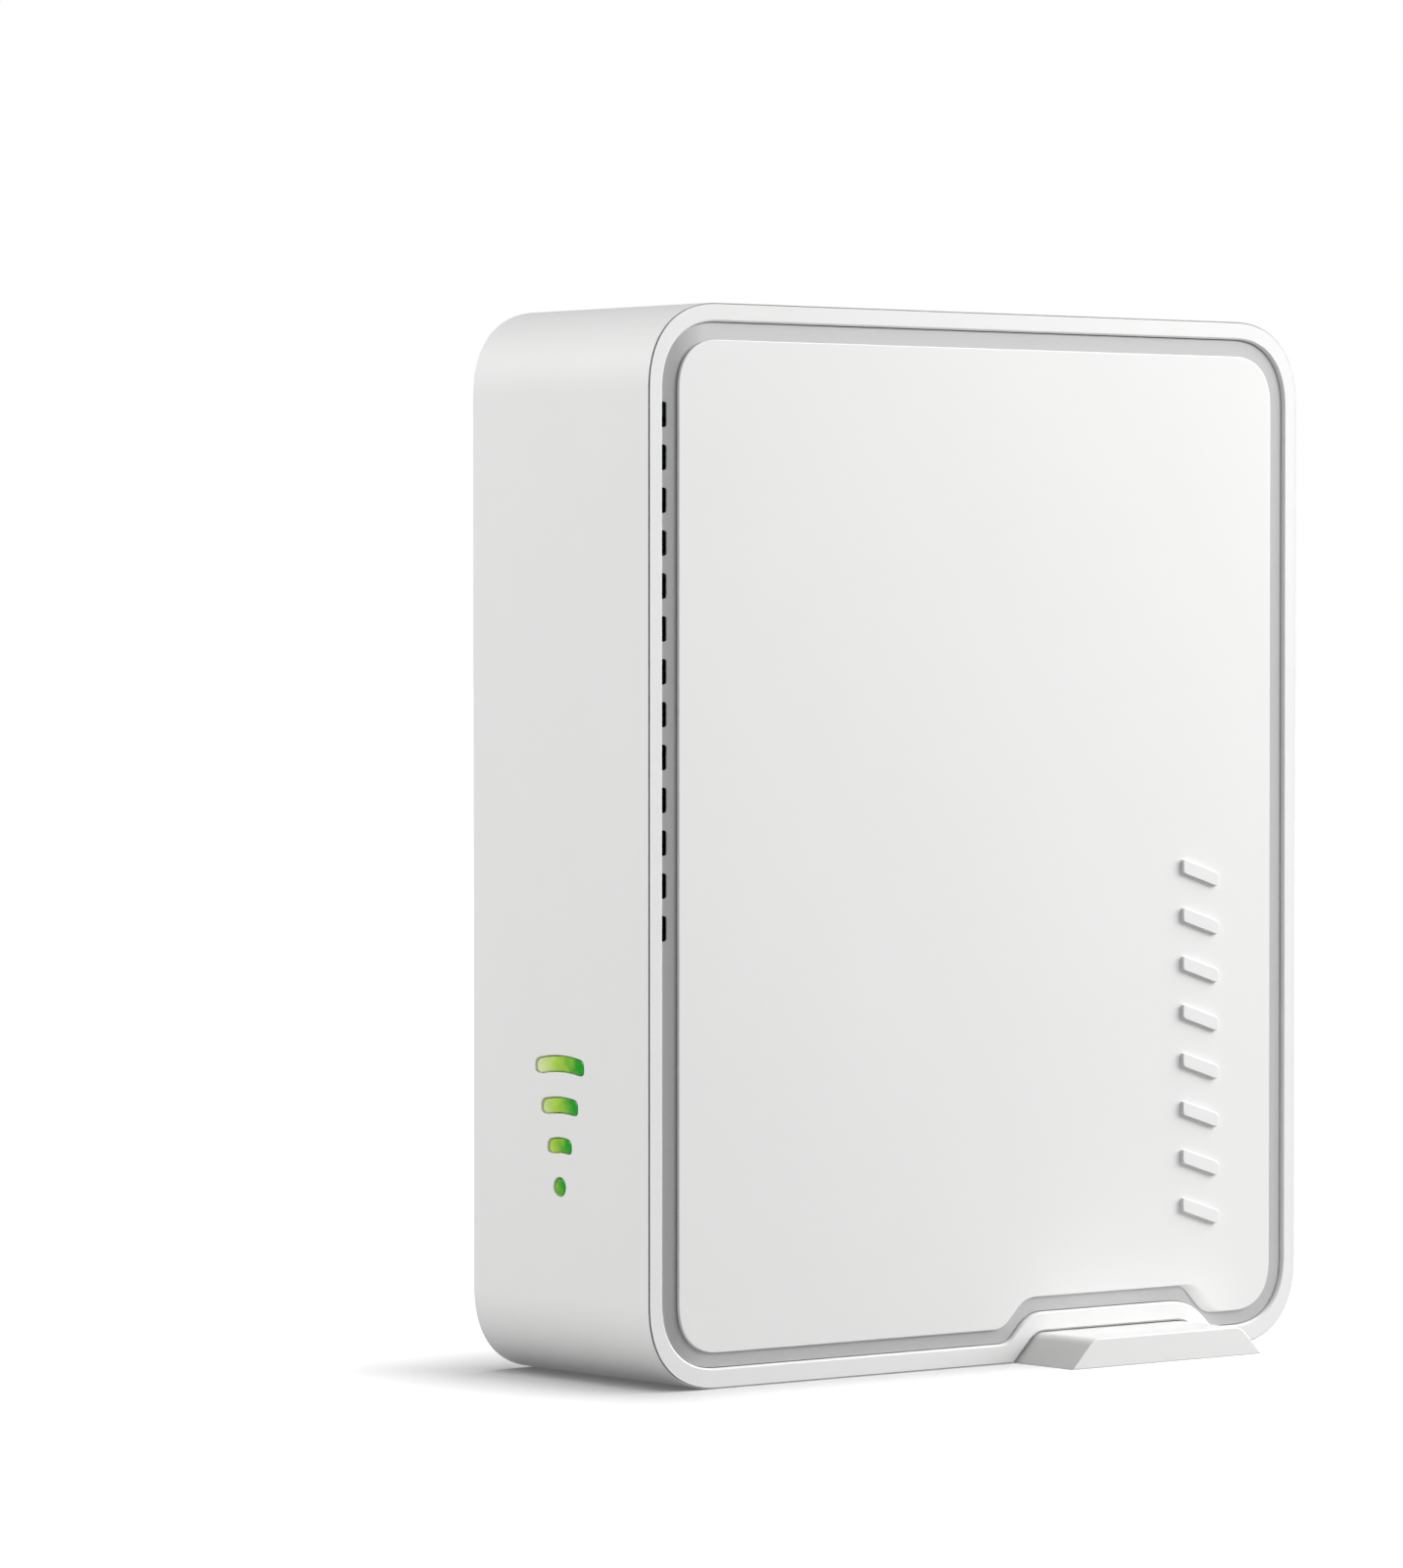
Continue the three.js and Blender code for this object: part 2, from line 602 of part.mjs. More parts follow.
function statusLed(mark) {
  const z = markHeight(mark);
  const base = -LED_BOARD.outer - SEAT_GAP;
  return block(
    [base - LED.depth, base],
    [-LED.width / 2, LED.width / 2],
    [z - LED.height / 2, z + LED.height / 2],
  );
}

// A flat flexible strip in a smooth S from the light board to the main board.
function ledRibbon() {
  const root = -LED_BOARD.inner + SEAT_GAP + RIBBON.clearance;
  const rest = BOARD_FACE - RIBBON.thickness / 2 - RIBBON.clearance - GAP / 2;
  const curve = new THREE.CubicBezierCurve(
    new THREE.Vector2(root, RIBBON.start),
    new THREE.Vector2(root + RIBBON.reach * 0.37, RIBBON.start),
    new THREE.Vector2(RIBBON.end - RIBBON.reach, rest),
    new THREE.Vector2(RIBBON.end, rest),
  );
  const steps = 14;
  const edge = (side) => Array.from({ length: steps + 1 }, (_, i) => {
    const point = curve.getPoint(i / steps);
    const tangent = curve.getTangent(i / steps);
    const shift = (side * RIBBON.thickness) / 2;
    return [point.x - shift * tangent.y, point.y + shift * tangent.x];
  });
  return prism([...edge(-1), ...edge(1).reverse()], 'z', [RIBBON.low, RIBBON.high]);
}

// ---------------------------------------------------------------- main board

const BOARD_HOLES = { radius: 1.6, places: [[-42, 19], [-42, 131], [34, 19], [34, 131]] };
const BOARD_CORNER = 1.5;

function mainBoard() {
  const centre = [(BOARD.left + BOARD.right) / 2, (BOARD.low + BOARD.high) / 2];
  const shape = roundedRectangle(centre, BOARD.right - BOARD.left, BOARD.high - BOARD.low, BOARD_CORNER);
  const tools = BOARD_HOLES.places.map((place) => (
    rod(BOARD_HOLES.radius, 'y', [BOARD.front - OVERCUT, BOARD_BACK + OVERCUT], place, SMALL_SIDES)
  ));
  return cutBy(prism(shape, 'y', [BOARD.front, BOARD_BACK]), tools);
}

// A flat package on the main board, around a centre, standing off by some height.
function chip([x, z], width, height, thickness, standoff = 0) {
  const back = BOARD_FACE - standoff;
  return block([x - width / 2, x + width / 2], [back - thickness, back], [z - height / 2, z + height / 2]);
}

const PROCESSOR = { place: [-8, 80], size: 17, thickness: 1.4 };
const THERMAL_PAD = { size: 15, thickness: 0.7 };

function thermalPad() {
  const { size, thickness } = THERMAL_PAD;
  return chip(PROCESSOR.place, size, size, thickness, PROCESSOR.thickness + SEAT_GAP);
}

const HEATSINK = { size: 34, base: 1.7, fins: 10, finThickness: 1.2, finHeight: 9.5 };

function heatsink() {
  const [x, z] = PROCESSOR.place;
  const back = BOARD_FACE - PROCESSOR.thickness - THERMAL_PAD.thickness - 2 * SEAT_GAP;
  const root = back - HEATSINK.base;
  const tip = root - HEATSINK.finHeight;
  const half = HEATSINK.size / 2;
  const pitch = (HEATSINK.size - HEATSINK.finThickness) / (HEATSINK.fins - 1);
  const fins = Array.from({ length: HEATSINK.fins }, (_, i) => {
    const left = x - half + i * pitch;
    const right = left + HEATSINK.finThickness;
    return [[left, root], [left, tip], [right, tip], [right, root]];
  });
  // The outer fins are flush with the sides, so their outer root points are left out.
  const comb = fins.flat().slice(1, -1);
  return prism([[x + half, back], [x - half, back], ...comb], 'z', [z - half, z + half]);
}

const SHIELD = { thickness: 3.2, skin: 0.3 };

// A thin metal can, open towards the board.
function radioShield(place, width, height) {
  const { thickness, skin } = SHIELD;
  const can = chip(place, width, height, thickness);
  const hollow = chip(place, width - 2 * skin, height - 2 * skin, thickness - skin + OVERCUT, -OVERCUT);
  return can.subtract(hollow);
}

const CAPACITOR = { radius: 3.15, height: 7.7, edge: 0.3, groove: 1.8, grooveDepth: 0.35, grooveReach: 0.4 };

// An upright can with a rolled groove near its foot.
function capacitor([x, z]) {
  const { radius, height, edge, groove, grooveDepth, grooveReach } = CAPACITOR;
  const top = BOARD_FACE - height;
  const middle = BOARD_FACE - groove;
  return turned([
    [0, top],
    [radius - edge, top],
    [radius, top + edge],
    [radius, middle - grooveReach],
    [radius - grooveDepth, middle],
    [radius, middle + grooveReach],
    [radius, BOARD_FACE],
    [0, BOARD_FACE],
  ], 'y', [x, 0, z]);
}

const ANTENNA_DEPTH = [-2, -1.2];

// A flat antenna board: a stem with two arms.
const antenna = (points) => prism(points, 'y', ANTENNA_DEPTH);

const TOP_ANTENNA = [
  [-34, 138.5], [10, 138.5], [10, 146], [6, 146], [6, 141.5], [-12, 141.5], [-12, 146], [-16, 146],
  [-16, 141.5], [-30, 141.5], [-30, 146], [-34, 146],
];
const SIDE_ANTENNA = [
  [-57.5, 74], [-54.5, 74], [-54.5, 88], [-50.5, 88], [-50.5, 92], [-54.5, 92], [-54.5, 106],
  [-50.5, 106], [-50.5, 110], [-54.5, 110], [-54.5, 120], [-57.5, 120],
];

const LEAD = { radius: 0.6, sides: 8, steps: 16 };

function lead(points) {
  const extrudePath = new THREE.CatmullRomCurve3(points.map((point) => new THREE.Vector3(...point)));
  const section = circle([0, 0], LEAD.radius, LEAD.sides).map(([u, v]) => new THREE.Vector2(u, v));
  const settings = { steps: LEAD.steps, extrudePath, bevelEnabled: false };
  return solidOf(new THREE.ExtrudeGeometry(new THREE.Shape(section), settings));
}

const TOP_LEAD = [
  [-14, -0.3, 139.2], [-17, 0.4, 137.5], [-22, 1.2, 134], [-28, 1.6, 130], [-33, 1.8, 125], [-36, 1.8, 119],
];
const SIDE_LEAD = [
  [-55.5, -0.3, 84], [-52, 0.3, 83], [-48, 1.0, 82.5], [-44, 1.5, 84], [-40, 1.8, 87], [-38, 1.8, 91],
];

// ---------------------------------------------------------------- socket side

// The outside of a network socket, grown by a gap for its hole in the plate.
function jackBlock(z, span, gap) {
  const reach = JACK.width / 2 + gap;
  return block(span, [JACK.low - gap, BOARD_FACE + gap], [z - reach, z + reach]);
}

function rjJack(z) {
  const { halfWidth, low, high, latchHalfWidth, latchLow } = JACK_MOUTH;
  const mouth = [JACK.face - JACK.depth, JACK.face + OVERCUT];
  return cutBy(jackBlock(z, [JACK.back, JACK.face], 0), [
    block(mouth, [low, high], [z - halfWidth, z + halfWidth]),
    block(mouth, [latchLow, low + SEAT_GAP], [z - latchHalfWidth, z + latchHalfWidth]),
  ]);
}

function dcBlock(span, gap) {
  const reach = DC.halfWidth + gap;
  return block(span, [-reach, BOARD_FACE + gap], [DC.z - reach, DC.z + reach]);
}

function dcJack() {
  const boreEnd = DC.face - DC.boreDepth;
  return cutBy(dcBlock([DC.back, DC.face], 0), [
    rod(DC.bore, 'x', [boreEnd, DC.face + OVERCUT], [0, DC.z]),
    rod(DC.pin + GAP, 'x', [DC.back + DC.wall, boreEnd + OVERCUT], [0, DC.z], SMALL_SIDES),
  ]);
}

const PIN_TIP = { setback: 1.5, length: 0.6, narrowing: 0.5 };

function dcPin() {
  const root = DC.back + DC.wall + GAP;
  const tip = DC.face - PIN_TIP.setback;
  return turned([
    [0, root],
    [DC.pin, root],
    [DC.pin, tip - PIN_TIP.length],
    [DC.pin - PIN_TIP.narrowing, tip],
    [0, tip],
  ], 'x', [0, 0, DC.z], SMALL_SIDES);
}

const SWITCH = { halfLength: 6, halfWidth: 4.2, face: 60, back: 50 };
const WELL = { halfLength: 4.9, halfWidth: 3.2, depth: 6 };
const ROCKER = { halfLength: 4.1, halfWidth: 2.9, centreRise: 2.3, depth: 1.5, edge: 0.3 };
const PIVOT = { radius: 0.8, reach: 3.7 };

function switchBlock(span, gap) {
  const width = SWITCH.halfWidth + gap;
  const length = SWITCH.halfLength + gap;
  return block(span, [-width, width], [POWER.z - length, POWER.z + length]);
}

function powerSwitch() {
  const { z, pivotX } = POWER;
  const across = [-SWITCH.halfWidth - OVERCUT, SWITCH.halfWidth + OVERCUT];
  const well = block(
    [SWITCH.face - WELL.depth, SWITCH.face + OVERCUT],
    [-WELL.halfWidth, WELL.halfWidth],
    [z - WELL.halfLength, z + WELL.halfLength],
  );
  const pivotHole = rod(PIVOT.radius + GAP, 'y', across, [pivotX, z], SMALL_SIDES);
  return cutBy(switchBlock([SWITCH.back, SWITCH.face], 0), [well, pivotHole]);
}

// The rocker is drawn level about its pivot, then tipped to its off position.
function powerRocker() {
  const { halfLength, halfWidth, centreRise, depth, edge } = ROCKER;
  const endRise = centreRise + halfLength * Math.tan(POWER.tilt);
  const side = [
    [endRise - edge, -halfLength],
    [endRise, -halfLength + edge],
    [centreRise, 0],
    [endRise, halfLength - edge],
    [endRise - edge, halfLength],
    [-depth, halfLength],
    [-depth, -halfLength],
  ];
  const geometry = geometryOf(joined([
    prism(side, 'y', [-halfWidth, halfWidth]),
    rod(PIVOT.radius, 'y', [-PIVOT.reach, PIVOT.reach], [0, 0], SMALL_SIDES),
  ]));
  geometry.rotateY(POWER.tilt);
  geometry.translate(POWER.pivotX, 0, POWER.z);
  return solidOf(geometry);
}

const BUTTON = { collar: 1, stem: 5, edge: 0.3, clearance: 0.4 };

// A push button: a cap through the plate, a collar behind it and a stem into its switch.
function pushButton({ z, capRadius, face, collarRadius, stemRadius }) {
  const collarFace = PLATE.face - PLATE.skin - BUTTON.clearance;
  const collarBack = collarFace - BUTTON.collar;
  const stemEnd = collarBack - BUTTON.stem;
  return turned([
    [0, stemEnd],
    [stemRadius, stemEnd],
    [stemRadius, collarBack],
    [collarRadius, collarBack],
    [collarRadius, collarFace],
    [capRadius, collarFace],
    [capRadius, face - BUTTON.edge],
    [capRadius - BUTTON.edge, face],
    [0, face],
  ], 'x', [0, 0, z]);
}

const BUTTON_SWITCH = { face: 55.6, back: 47, halfWidth: 3.4, wall: 1.5 };

function buttonSwitch({ z, housing, stemRadius }) {
  const { face, back, halfWidth, wall } = BUTTON_SWITCH;
  const body = block([back, face], [-halfWidth, BOARD_FACE], [z - housing, z + housing]);
  const bore = rod(stemRadius + GAP, 'x', [back + wall, face + OVERCUT], [0, z], SMALL_SIDES);
  return body.subtract(bore);
}

function portPlate() {
  const lipFace = HALF - WALL - GAP;
  const through = [PLATE.flange - OVERCUT, PLATE.face + OVERCUT];
  const body = joined([
    prism(plateOutline(PLATE.lip, PLATE_CORNER + GAP), 'x', [PLATE.flange, lipFace]),
    prism(plateOutline(0, PLATE_CORNER), 'x', [lipFace - GAP, PLATE.face]),
  ]);
  return cutBy(body, [
    prism(plateOutline(-PLATE.skin, 1), 'x', [PLATE.flange - OVERCUT, PLATE.face - PLATE.skin]),
    ...[WAN_Z, ...LAN_Z].map((z) => jackBlock(z, through, GAP)),
    dcBlock(through, GAP),
    switchBlock(through, GAP),
    ...[WPS, RESET].map(({ z, capRadius }) => rod(capRadius + GAP, 'x', through, [0, z])),
  ]);
}

// ---------------------------------------------------------------- materials and assembly

function finish(color, roughness, metalness = 0) {
  return new THREE.MeshStandardMaterial({ color, roughness, metalness });
}

const WHITE = () => finish(0xf2f2f1, 0.35);
const SILVER = () => finish(0xb4b6b8, 0.4, 0.5);
const GREY = () => finish(0x9c9ea1, 0.5);
const BLACK = () => finish(0x17181a, 0.5);
const RUBBER = () => finish(0x2a2b2d, 0.9);
const BOARD_GREEN = () => finish(0x1e5a34, 0.6);
const STEEL = () => finish(0xc3c6c9, 0.3, 1);
const ALUMINIUM = () => finish(0xa9adb0, 0.4, 1);
const EPOXY = () => finish(0x1c1d20, 0.55);
const LIME = () => finish(0x7fc63a, 0.2);
const FERRITE = () => finish(0x3b3c3f, 0.7);

// The flat parts on the main board: centre in X and Z, size, and how far they stand up.
const CHIPS = [
  { name: 'memory_chip', place: [-2, 48], width: 13, height: 9, thickness: 1.1, look: EPOXY },
  { name: 'flash_chip', place: [14, 48], width: 8, height: 5.3, thickness: 1.6, look: EPOXY },
  { name: 'switch_chip', place: [24, 76], width: 14, height: 14, thickness: 1.2, look: EPOXY },
  { name: 'line_transformer_low', place: [30, 58], width: 8, height: 13, thickness: 4.4, look: EPOXY },
  { name: 'line_transformer_high', place: [30, 98], width: 8, height: 16, thickness: 4.4, look: EPOXY },
  { name: 'clock_crystal', place: [8, 108], width: 11, height: 4.6, thickness: 3.4, look: STEEL },
  { name: 'power_inductor', place: [20, 30], width: 9, height: 9, thickness: 4.5, look: FERRITE },
];

const router = new THREE.Group();

function put(name, solid, material) {
  const mesh = new THREE.Mesh(geometryOf(solid), material);
  mesh.name = name;
  router.add(mesh);
}

put('side_band', sideBand(), WHITE());
put('front_cover', frontCover(), WHITE());
put('front_panel', frontPanel(), WHITE());
put('trim_ring', trimRing(), SILVER());
put('back_cover', backCover(), WHITE());
put('rating_label', ratingLabel(), finish(0xd9dadb, 0.6));
put('port_plate', portPlate(), GREY());
put('stand_foot', standFoot(), WHITE());

['front', 'rear'].forEach((end, i) => {
  put(`foot_pad_${end}`, footPad(2 * i - 1), RUBBER());
  put(`base_pad_${end}`, basePad(BASE_PAD_PLACES[i]), RUBBER());
});

LIGHTS.forEach((mark) => {
  put(`light_lens_${mark.name}`, ledLens(mark), LIME());
  put(`status_led_${mark.name}`, statusLed(mark), finish(0xf0eecf, 0.4));
});
put('lens_holder', lensHolder(), BLACK());
put('light_board', ledBoard(), BOARD_GREEN());
put('light_ribbon', ledRibbon(), finish(0xe8e4da, 0.5));

put('main_board', mainBoard(), BOARD_GREEN());
put('processor', chip(PROCESSOR.place, PROCESSOR.size, PROCESSOR.size, PROCESSOR.thickness), EPOXY());
put('thermal_pad', thermalPad(), finish(0x8fa7b8, 0.8));
put('heatsink', heatsink(), ALUMINIUM());
put('radio_shield_low', radioShield([-25, 48], 24, 20), STEEL());
put('radio_shield_high', radioShield([-27, 110], 24, 22), STEEL());
CHIPS.forEach(({ name, place, width, height, thickness, look }) => {
  put(name, chip(place, width, height, thickness), look());
});
put('capacitor_low', capacitor([34, 27]), ALUMINIUM());
put('capacitor_high', capacitor([34, 37]), ALUMINIUM());

put('antenna_top', antenna(TOP_ANTENNA), BOARD_GREEN());
put('antenna_side', antenna(SIDE_ANTENNA), BOARD_GREEN());
put('antenna_lead_top', lead(TOP_LEAD), BLACK());
put('antenna_lead_side', lead(SIDE_LEAD), finish(0xd8d8d6, 0.5));

put('wan_jack', rjJack(WAN_Z), finish(0x3f7fb5, 0.45));
LAN_Z.forEach((z, i) => put(`lan_jack_${i + 1}`, rjJack(z), finish(0xd9b23a, 0.45)));
put('dc_jack', dcJack(), BLACK());
put('dc_pin', dcPin(), STEEL());
put('power_switch', powerSwitch(), BLACK());
put('power_rocker', powerRocker(), BLACK());
put('reset_switch', buttonSwitch(RESET), BLACK());
put('reset_button', pushButton(RESET), finish(0xc23a2e, 0.5));
put('wps_switch', buttonSwitch(WPS), BLACK());
put('wps_button', pushButton(WPS), WHITE());

BOSS_PLACES.forEach((place, i) => put(`cover_screw_${i + 1}`, coverScrew(place), STEEL()));

export default router;
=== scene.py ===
# An upright wireless router in its finished shapes and materials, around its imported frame.
# Metres, +Z up: front panel towards -Y, status lights on the -X side, sockets on the +X side.

import json
import math
from collections import namedtuple

import bmesh
import bpy
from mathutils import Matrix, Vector

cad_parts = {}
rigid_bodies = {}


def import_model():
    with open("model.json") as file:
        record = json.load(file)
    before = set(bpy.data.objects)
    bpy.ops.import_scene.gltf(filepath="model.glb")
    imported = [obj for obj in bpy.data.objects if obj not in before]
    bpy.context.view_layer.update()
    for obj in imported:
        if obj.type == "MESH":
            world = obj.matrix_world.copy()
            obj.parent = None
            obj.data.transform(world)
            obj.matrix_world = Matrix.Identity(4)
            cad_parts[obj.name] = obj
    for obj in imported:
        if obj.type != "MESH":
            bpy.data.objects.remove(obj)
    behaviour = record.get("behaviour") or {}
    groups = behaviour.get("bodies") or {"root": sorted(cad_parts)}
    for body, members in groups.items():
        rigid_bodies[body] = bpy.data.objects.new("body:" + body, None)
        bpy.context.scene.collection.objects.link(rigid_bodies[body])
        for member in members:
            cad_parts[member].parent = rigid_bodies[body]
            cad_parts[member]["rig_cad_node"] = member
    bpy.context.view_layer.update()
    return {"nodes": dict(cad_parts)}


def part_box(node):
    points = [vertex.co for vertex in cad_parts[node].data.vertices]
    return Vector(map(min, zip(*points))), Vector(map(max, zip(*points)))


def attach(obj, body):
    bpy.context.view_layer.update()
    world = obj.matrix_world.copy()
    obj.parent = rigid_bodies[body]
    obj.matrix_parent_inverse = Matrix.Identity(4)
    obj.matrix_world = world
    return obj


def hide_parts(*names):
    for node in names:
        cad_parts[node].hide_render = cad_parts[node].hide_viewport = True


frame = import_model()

NODES = frame["nodes"]
MM = 0.001
ROOT = "router"

# ------------------------------------------------------------------ sizes from the frame

PANEL_LOW, PANEL_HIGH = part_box("front_panel")
PLATE_LOW, PLATE_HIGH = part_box("port_plate")
FOOT_LOW, FOOT_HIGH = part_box("stand_foot")

HALF_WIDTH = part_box("side_band")[1].x
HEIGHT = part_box("side_band")[1].z
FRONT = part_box("front_cover")[0].y
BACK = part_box("back_cover")[1].y
BACK_INSIDE = BACK - 2.1 * MM
RING_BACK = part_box("trim_ring")[1].y
COVER_SHIFT = 0.19 * MM
BAND_SHIFT = 0.04 * MM
WALL = 2.2 * MM
GAP = 0.3 * MM
MITRE = 1.7 * MM
CORNER_REACH = 12.5 * MM
CORNER_POWER = 2.35
CORNER_STEPS = 26
BEND_STEPS = 10

Inset = namedtuple("Inset", "side top bottom notch")
Bends = namedtuple("Bends", "base left right")


def even(distance):
    return Inset(distance, distance, distance, distance)


def further(inset, more):
    return Inset(*[distance + more for distance in inset])


RIM = Inset(2.52 * MM, 2.62 * MM, 2.87 * MM, 2.78 * MM)
PANEL = Inset(PANEL_LOW.x + HALF_WIDTH, HEIGHT - PANEL_HIGH.z, PANEL_LOW.z, 5.0 * MM)
CASE_BENDS = Bends(0.3 * MM, 1.8 * MM, 1.8 * MM)
RIM_BENDS = Bends(1.3 * MM, 2.6 * MM, 4.0 * MM)
PANEL_BENDS = Bends(1.6 * MM, 2.2 * MM, 1.5 * MM)
PANEL_RAMP = 2.6 * MM
RIM_CHAMFER = 0.25 * MM
RING_FLOOR = 1.5 * MM
GROOVE = 0.5 * MM
GROOVE_FALL = 0.12 * MM

NOTCH_LEFT = 5.6 * MM
NOTCH_RIGHT = 43.3 * MM
NOTCH_HEIGHT = 4.3 * MM
FOOT_CENTRE = (NOTCH_LEFT + NOTCH_RIGHT) / 2
PEG_PLACE = 10 * MM
SIN45 = math.sin(math.pi / 4)

BOSS_PLACES = [(x, z) for x in (-52 * MM, 52 * MM) for z in (9.5 * MM, 140.5 * MM)]
POST_PLACES = [(x, z) for x in (-30 * MM, 40 * MM) for z in (25 * MM, 125 * MM)]
VENT_ROWS = [92 * MM + 5 * MM * row for row in range(8)]
VENT_COLUMNS = (-27 * MM, 0, 27 * MM)
SLOT_PLACES = [134.45 * MM - 5.883 * MM * row for row in range(13)]
SLOT_INNER = 3.65 * MM
WIRE_PLACES = [(wire - 3.5) * 1.02 * MM for wire in range(8)]
JACKS = ("wan_jack", "lan_jack_1", "lan_jack_2", "lan_jack_3")
CAP_RADIUS = {"wps_button": 3.0 * MM, "reset_button": 1.2 * MM}
MARK_SAG = {
    "light_lens_large": 0.6 * MM,
    "light_lens_medium": 0.4 * MM,
    "light_lens_small": 0.35 * MM,
}

# ------------------------------------------------------------------ outlines


def soft_corner(x, z, reach, quadrant, steps=CORNER_STEPS):
    """A quarter of a superellipse around a point, turned by quadrant x 90 degrees."""
    turn = quadrant * math.pi / 2
    points = []
    for step in range(steps + 1):
        angle = step / steps * math.pi / 2
        along = reach * max(0.0, math.cos(angle)) ** (2 / CORNER_POWER)
        across = reach * math.sin(angle) ** (2 / CORNER_POWER)
        points.append((
            x + along * math.cos(turn) - across * math.sin(turn),
            z + along * math.sin(turn) + across * math.cos(turn),
        ))
    return points


def bend(start, corner, end, steps=BEND_STEPS):
    """A quadratic curve from start to end, pulled towards corner."""
    points = []
    for step in range(steps + 1):
        t = step / steps
        weights = ((1 - t) ** 2, 2 * t * (1 - t), t ** 2)
        points.append(tuple(
            sum(w * p[axis] for w, p in zip(weights, (start, corner, end))) for axis in (0, 1)
        ))
    return points


def notch_path(inset, bends, ramp):
    """The case's lower edge over the foot, from left to right."""
    low = inset.bottom
    high = NOTCH_HEIGHT + inset.notch

    def left(z):
        return NOTCH_LEFT + z - inset.notch / SIN45

    def right(z):
        return NOTCH_RIGHT - z + inset.notch / SIN45 - ramp

    def down(x, z, distance, sign):
        return (x + sign * distance * SIN45, z - distance * SIN45)

    return (
        bend((left(low) - bends.base, low), (left(low), low), down(left(low), low, -bends.base, -1))
        + bend(
            down(left(high), high, bends.left, -1), (left(high), high), (left(high) + bends.left, high)
        )
        + bend(
            (right(high) - bends.right, high), (right(high), high), down(right(high), high, bends.right, 1)
        )
        + bend(down(right(low), low, -bends.base, 1), (right(low), low), (right(low) + bends.base, low))
    )


def outline(inset, bends=CASE_BENDS, ramp=0.0):
    """The case outline in the X-Z plane, moved in by an inset, anticlockwise."""
    reach = CORNER_REACH - inset.side
    right = HALF_WIDTH - inset.side - reach
    low = inset.bottom + reach
    high = HEIGHT - inset.top - reach
    return (
        notch_path(inset, bends, ramp)
        + soft_corner(right, low, reach, -1)
        + soft_corner(right, high, reach, 0)
        + soft_corner(-right, high, reach, 1)
        + soft_corner(-right, low, reach, 2)
    )


def rounded_rectangle(u, v, width, height, radius, steps=6):
    points = []
    for quadrant, (sign_u, sign_v) in enumerate(((1, -1), (1, 1), (-1, 1), (-1, -1))):
        centre_u = u + sign_u * (width / 2 - radius)
        centre_v = v + sign_v * (height / 2 - radius)
        for step in range(steps + 1):
            angle = (quadrant - 1 + step / steps) * math.pi / 2
            points.append((centre_u + radius * math.cos(angle), centre_v + radius * math.sin(angle)))
    return points


def circle(u, v, radius, steps=48):
    return [
        (u + radius * math.cos(math.tau * i / steps), v + radius * math.sin(math.tau * i / steps))
        for i in range(steps)
    ]


# ------------------------------------------------------------------ mesh making

PLACERS = {
    "x": lambda depth, points: [Vector((depth, u, v)) for u, v in points],
    "y": lambda depth, points: [Vector((u, depth, v)) for u, v in points],
    "z": lambda depth, points: [Vector((u, v, depth)) for u, v in points],
}


def mesh_object(name, bm):
    mesh = bpy.data.meshes.new(name)
    bmesh.ops.recalc_face_normals(bm, faces=bm.faces)
    bm.to_mesh(mesh)
    bm.free()
    piece = bpy.data.objects.new(name, mesh)
    bpy.context.scene.collection.objects.link(piece)
    return piece


def add_loft(bm, rings, looped=False):
    """Skins rings of equal length with quads, and caps both ends unless the skin is looped."""
    rows = [[bm.verts.new(point) for point in ring] for ring in rings]
    count = len(rows[0])
    pairs = list(zip(rows, rows[1:]))
    if looped:
        pairs.append((rows[-1], rows[0]))
    for near, far in pairs:
        for i in range(count):
            j = (i + 1) % count
            bm.faces.new((near[i], near[j], far[j], far[i]))
    if not looped:
        bm.faces.new(rows[0])
        bm.faces.new(rows[-1])


def loft(name, axis, sections, looped=False):
    """One solid through sections, each a (depth along the axis, outline) pair."""
    bm = bmesh.new()
    add_loft(bm, [PLACERS[axis](depth, points) for depth, points in sections], looped)
    return mesh_object(name, bm)


def prisms(name, axis, shapes):
    """Separate straight prisms in one mesh, each an (outline, low, high) row."""
    bm = bmesh.new()
    for points, low, high in shapes:
        add_loft(bm, [PLACERS[axis](low, points), PLACERS[axis](high, points)])
    return mesh_object(name, bm)


def box_outline(low_u, high_u, low_v, high_v):
    return [(low_u, low_v), (high_u, low_v), (high_u, high_v), (low_u, high_v)]


def shrunk(outer, inner, share):
    """An outline part of the way from an outer one to an inner one."""
    return [tuple(a + (b - a) * share for a, b in zip(p, q)) for p, q in zip(outer, inner)]


def rounded_edge(radius, along, across, rise, steps=5):
    """A quarter of an ellipse that ends the side of a turned profile, without its first point."""
    points = []
    for step in range(1, steps + 1):
        angle = step / steps * math.pi / 2
        points.append((radius - across * (1 - math.cos(angle)), along - rise * (1 - math.sin(angle))))
    return points


def turned(name, axis, centre, profile, steps=64):
    """A turned solid: its profile is a list of (radius, place along the axis) pairs."""
    bm = bmesh.new()
    rows = []
    for radius, along in profile:
        if radius == 0:
            rows.append([bm.verts.new(PLACERS[axis](along, [centre])[0])])
        else:
            ring = PLACERS[axis](along, circle(*centre, radius, steps))
            rows.append([bm.verts.new(point) for point in ring])
    for near, far in zip(rows, rows[1:]):
        for i in range(steps):
            j = i + 1
            corners = [near[i % len(near)], near[j % len(near)], far[j % len(far)], far[i % len(far)]]
            bm.faces.new(list(dict.fromkeys(corners)))
    return mesh_object(name, bm)


def evaluated_mesh(piece):
    graph = bpy.context.evaluated_depsgraph_get()
    graph.update()
    return bpy.data.meshes.new_from_object(piece.evaluated_get(graph))


def apply_modifiers(piece):
    mesh = evaluated_mesh(piece)
    mesh.name = piece.name
    piece.modifiers.clear()
    piece.data = mesh


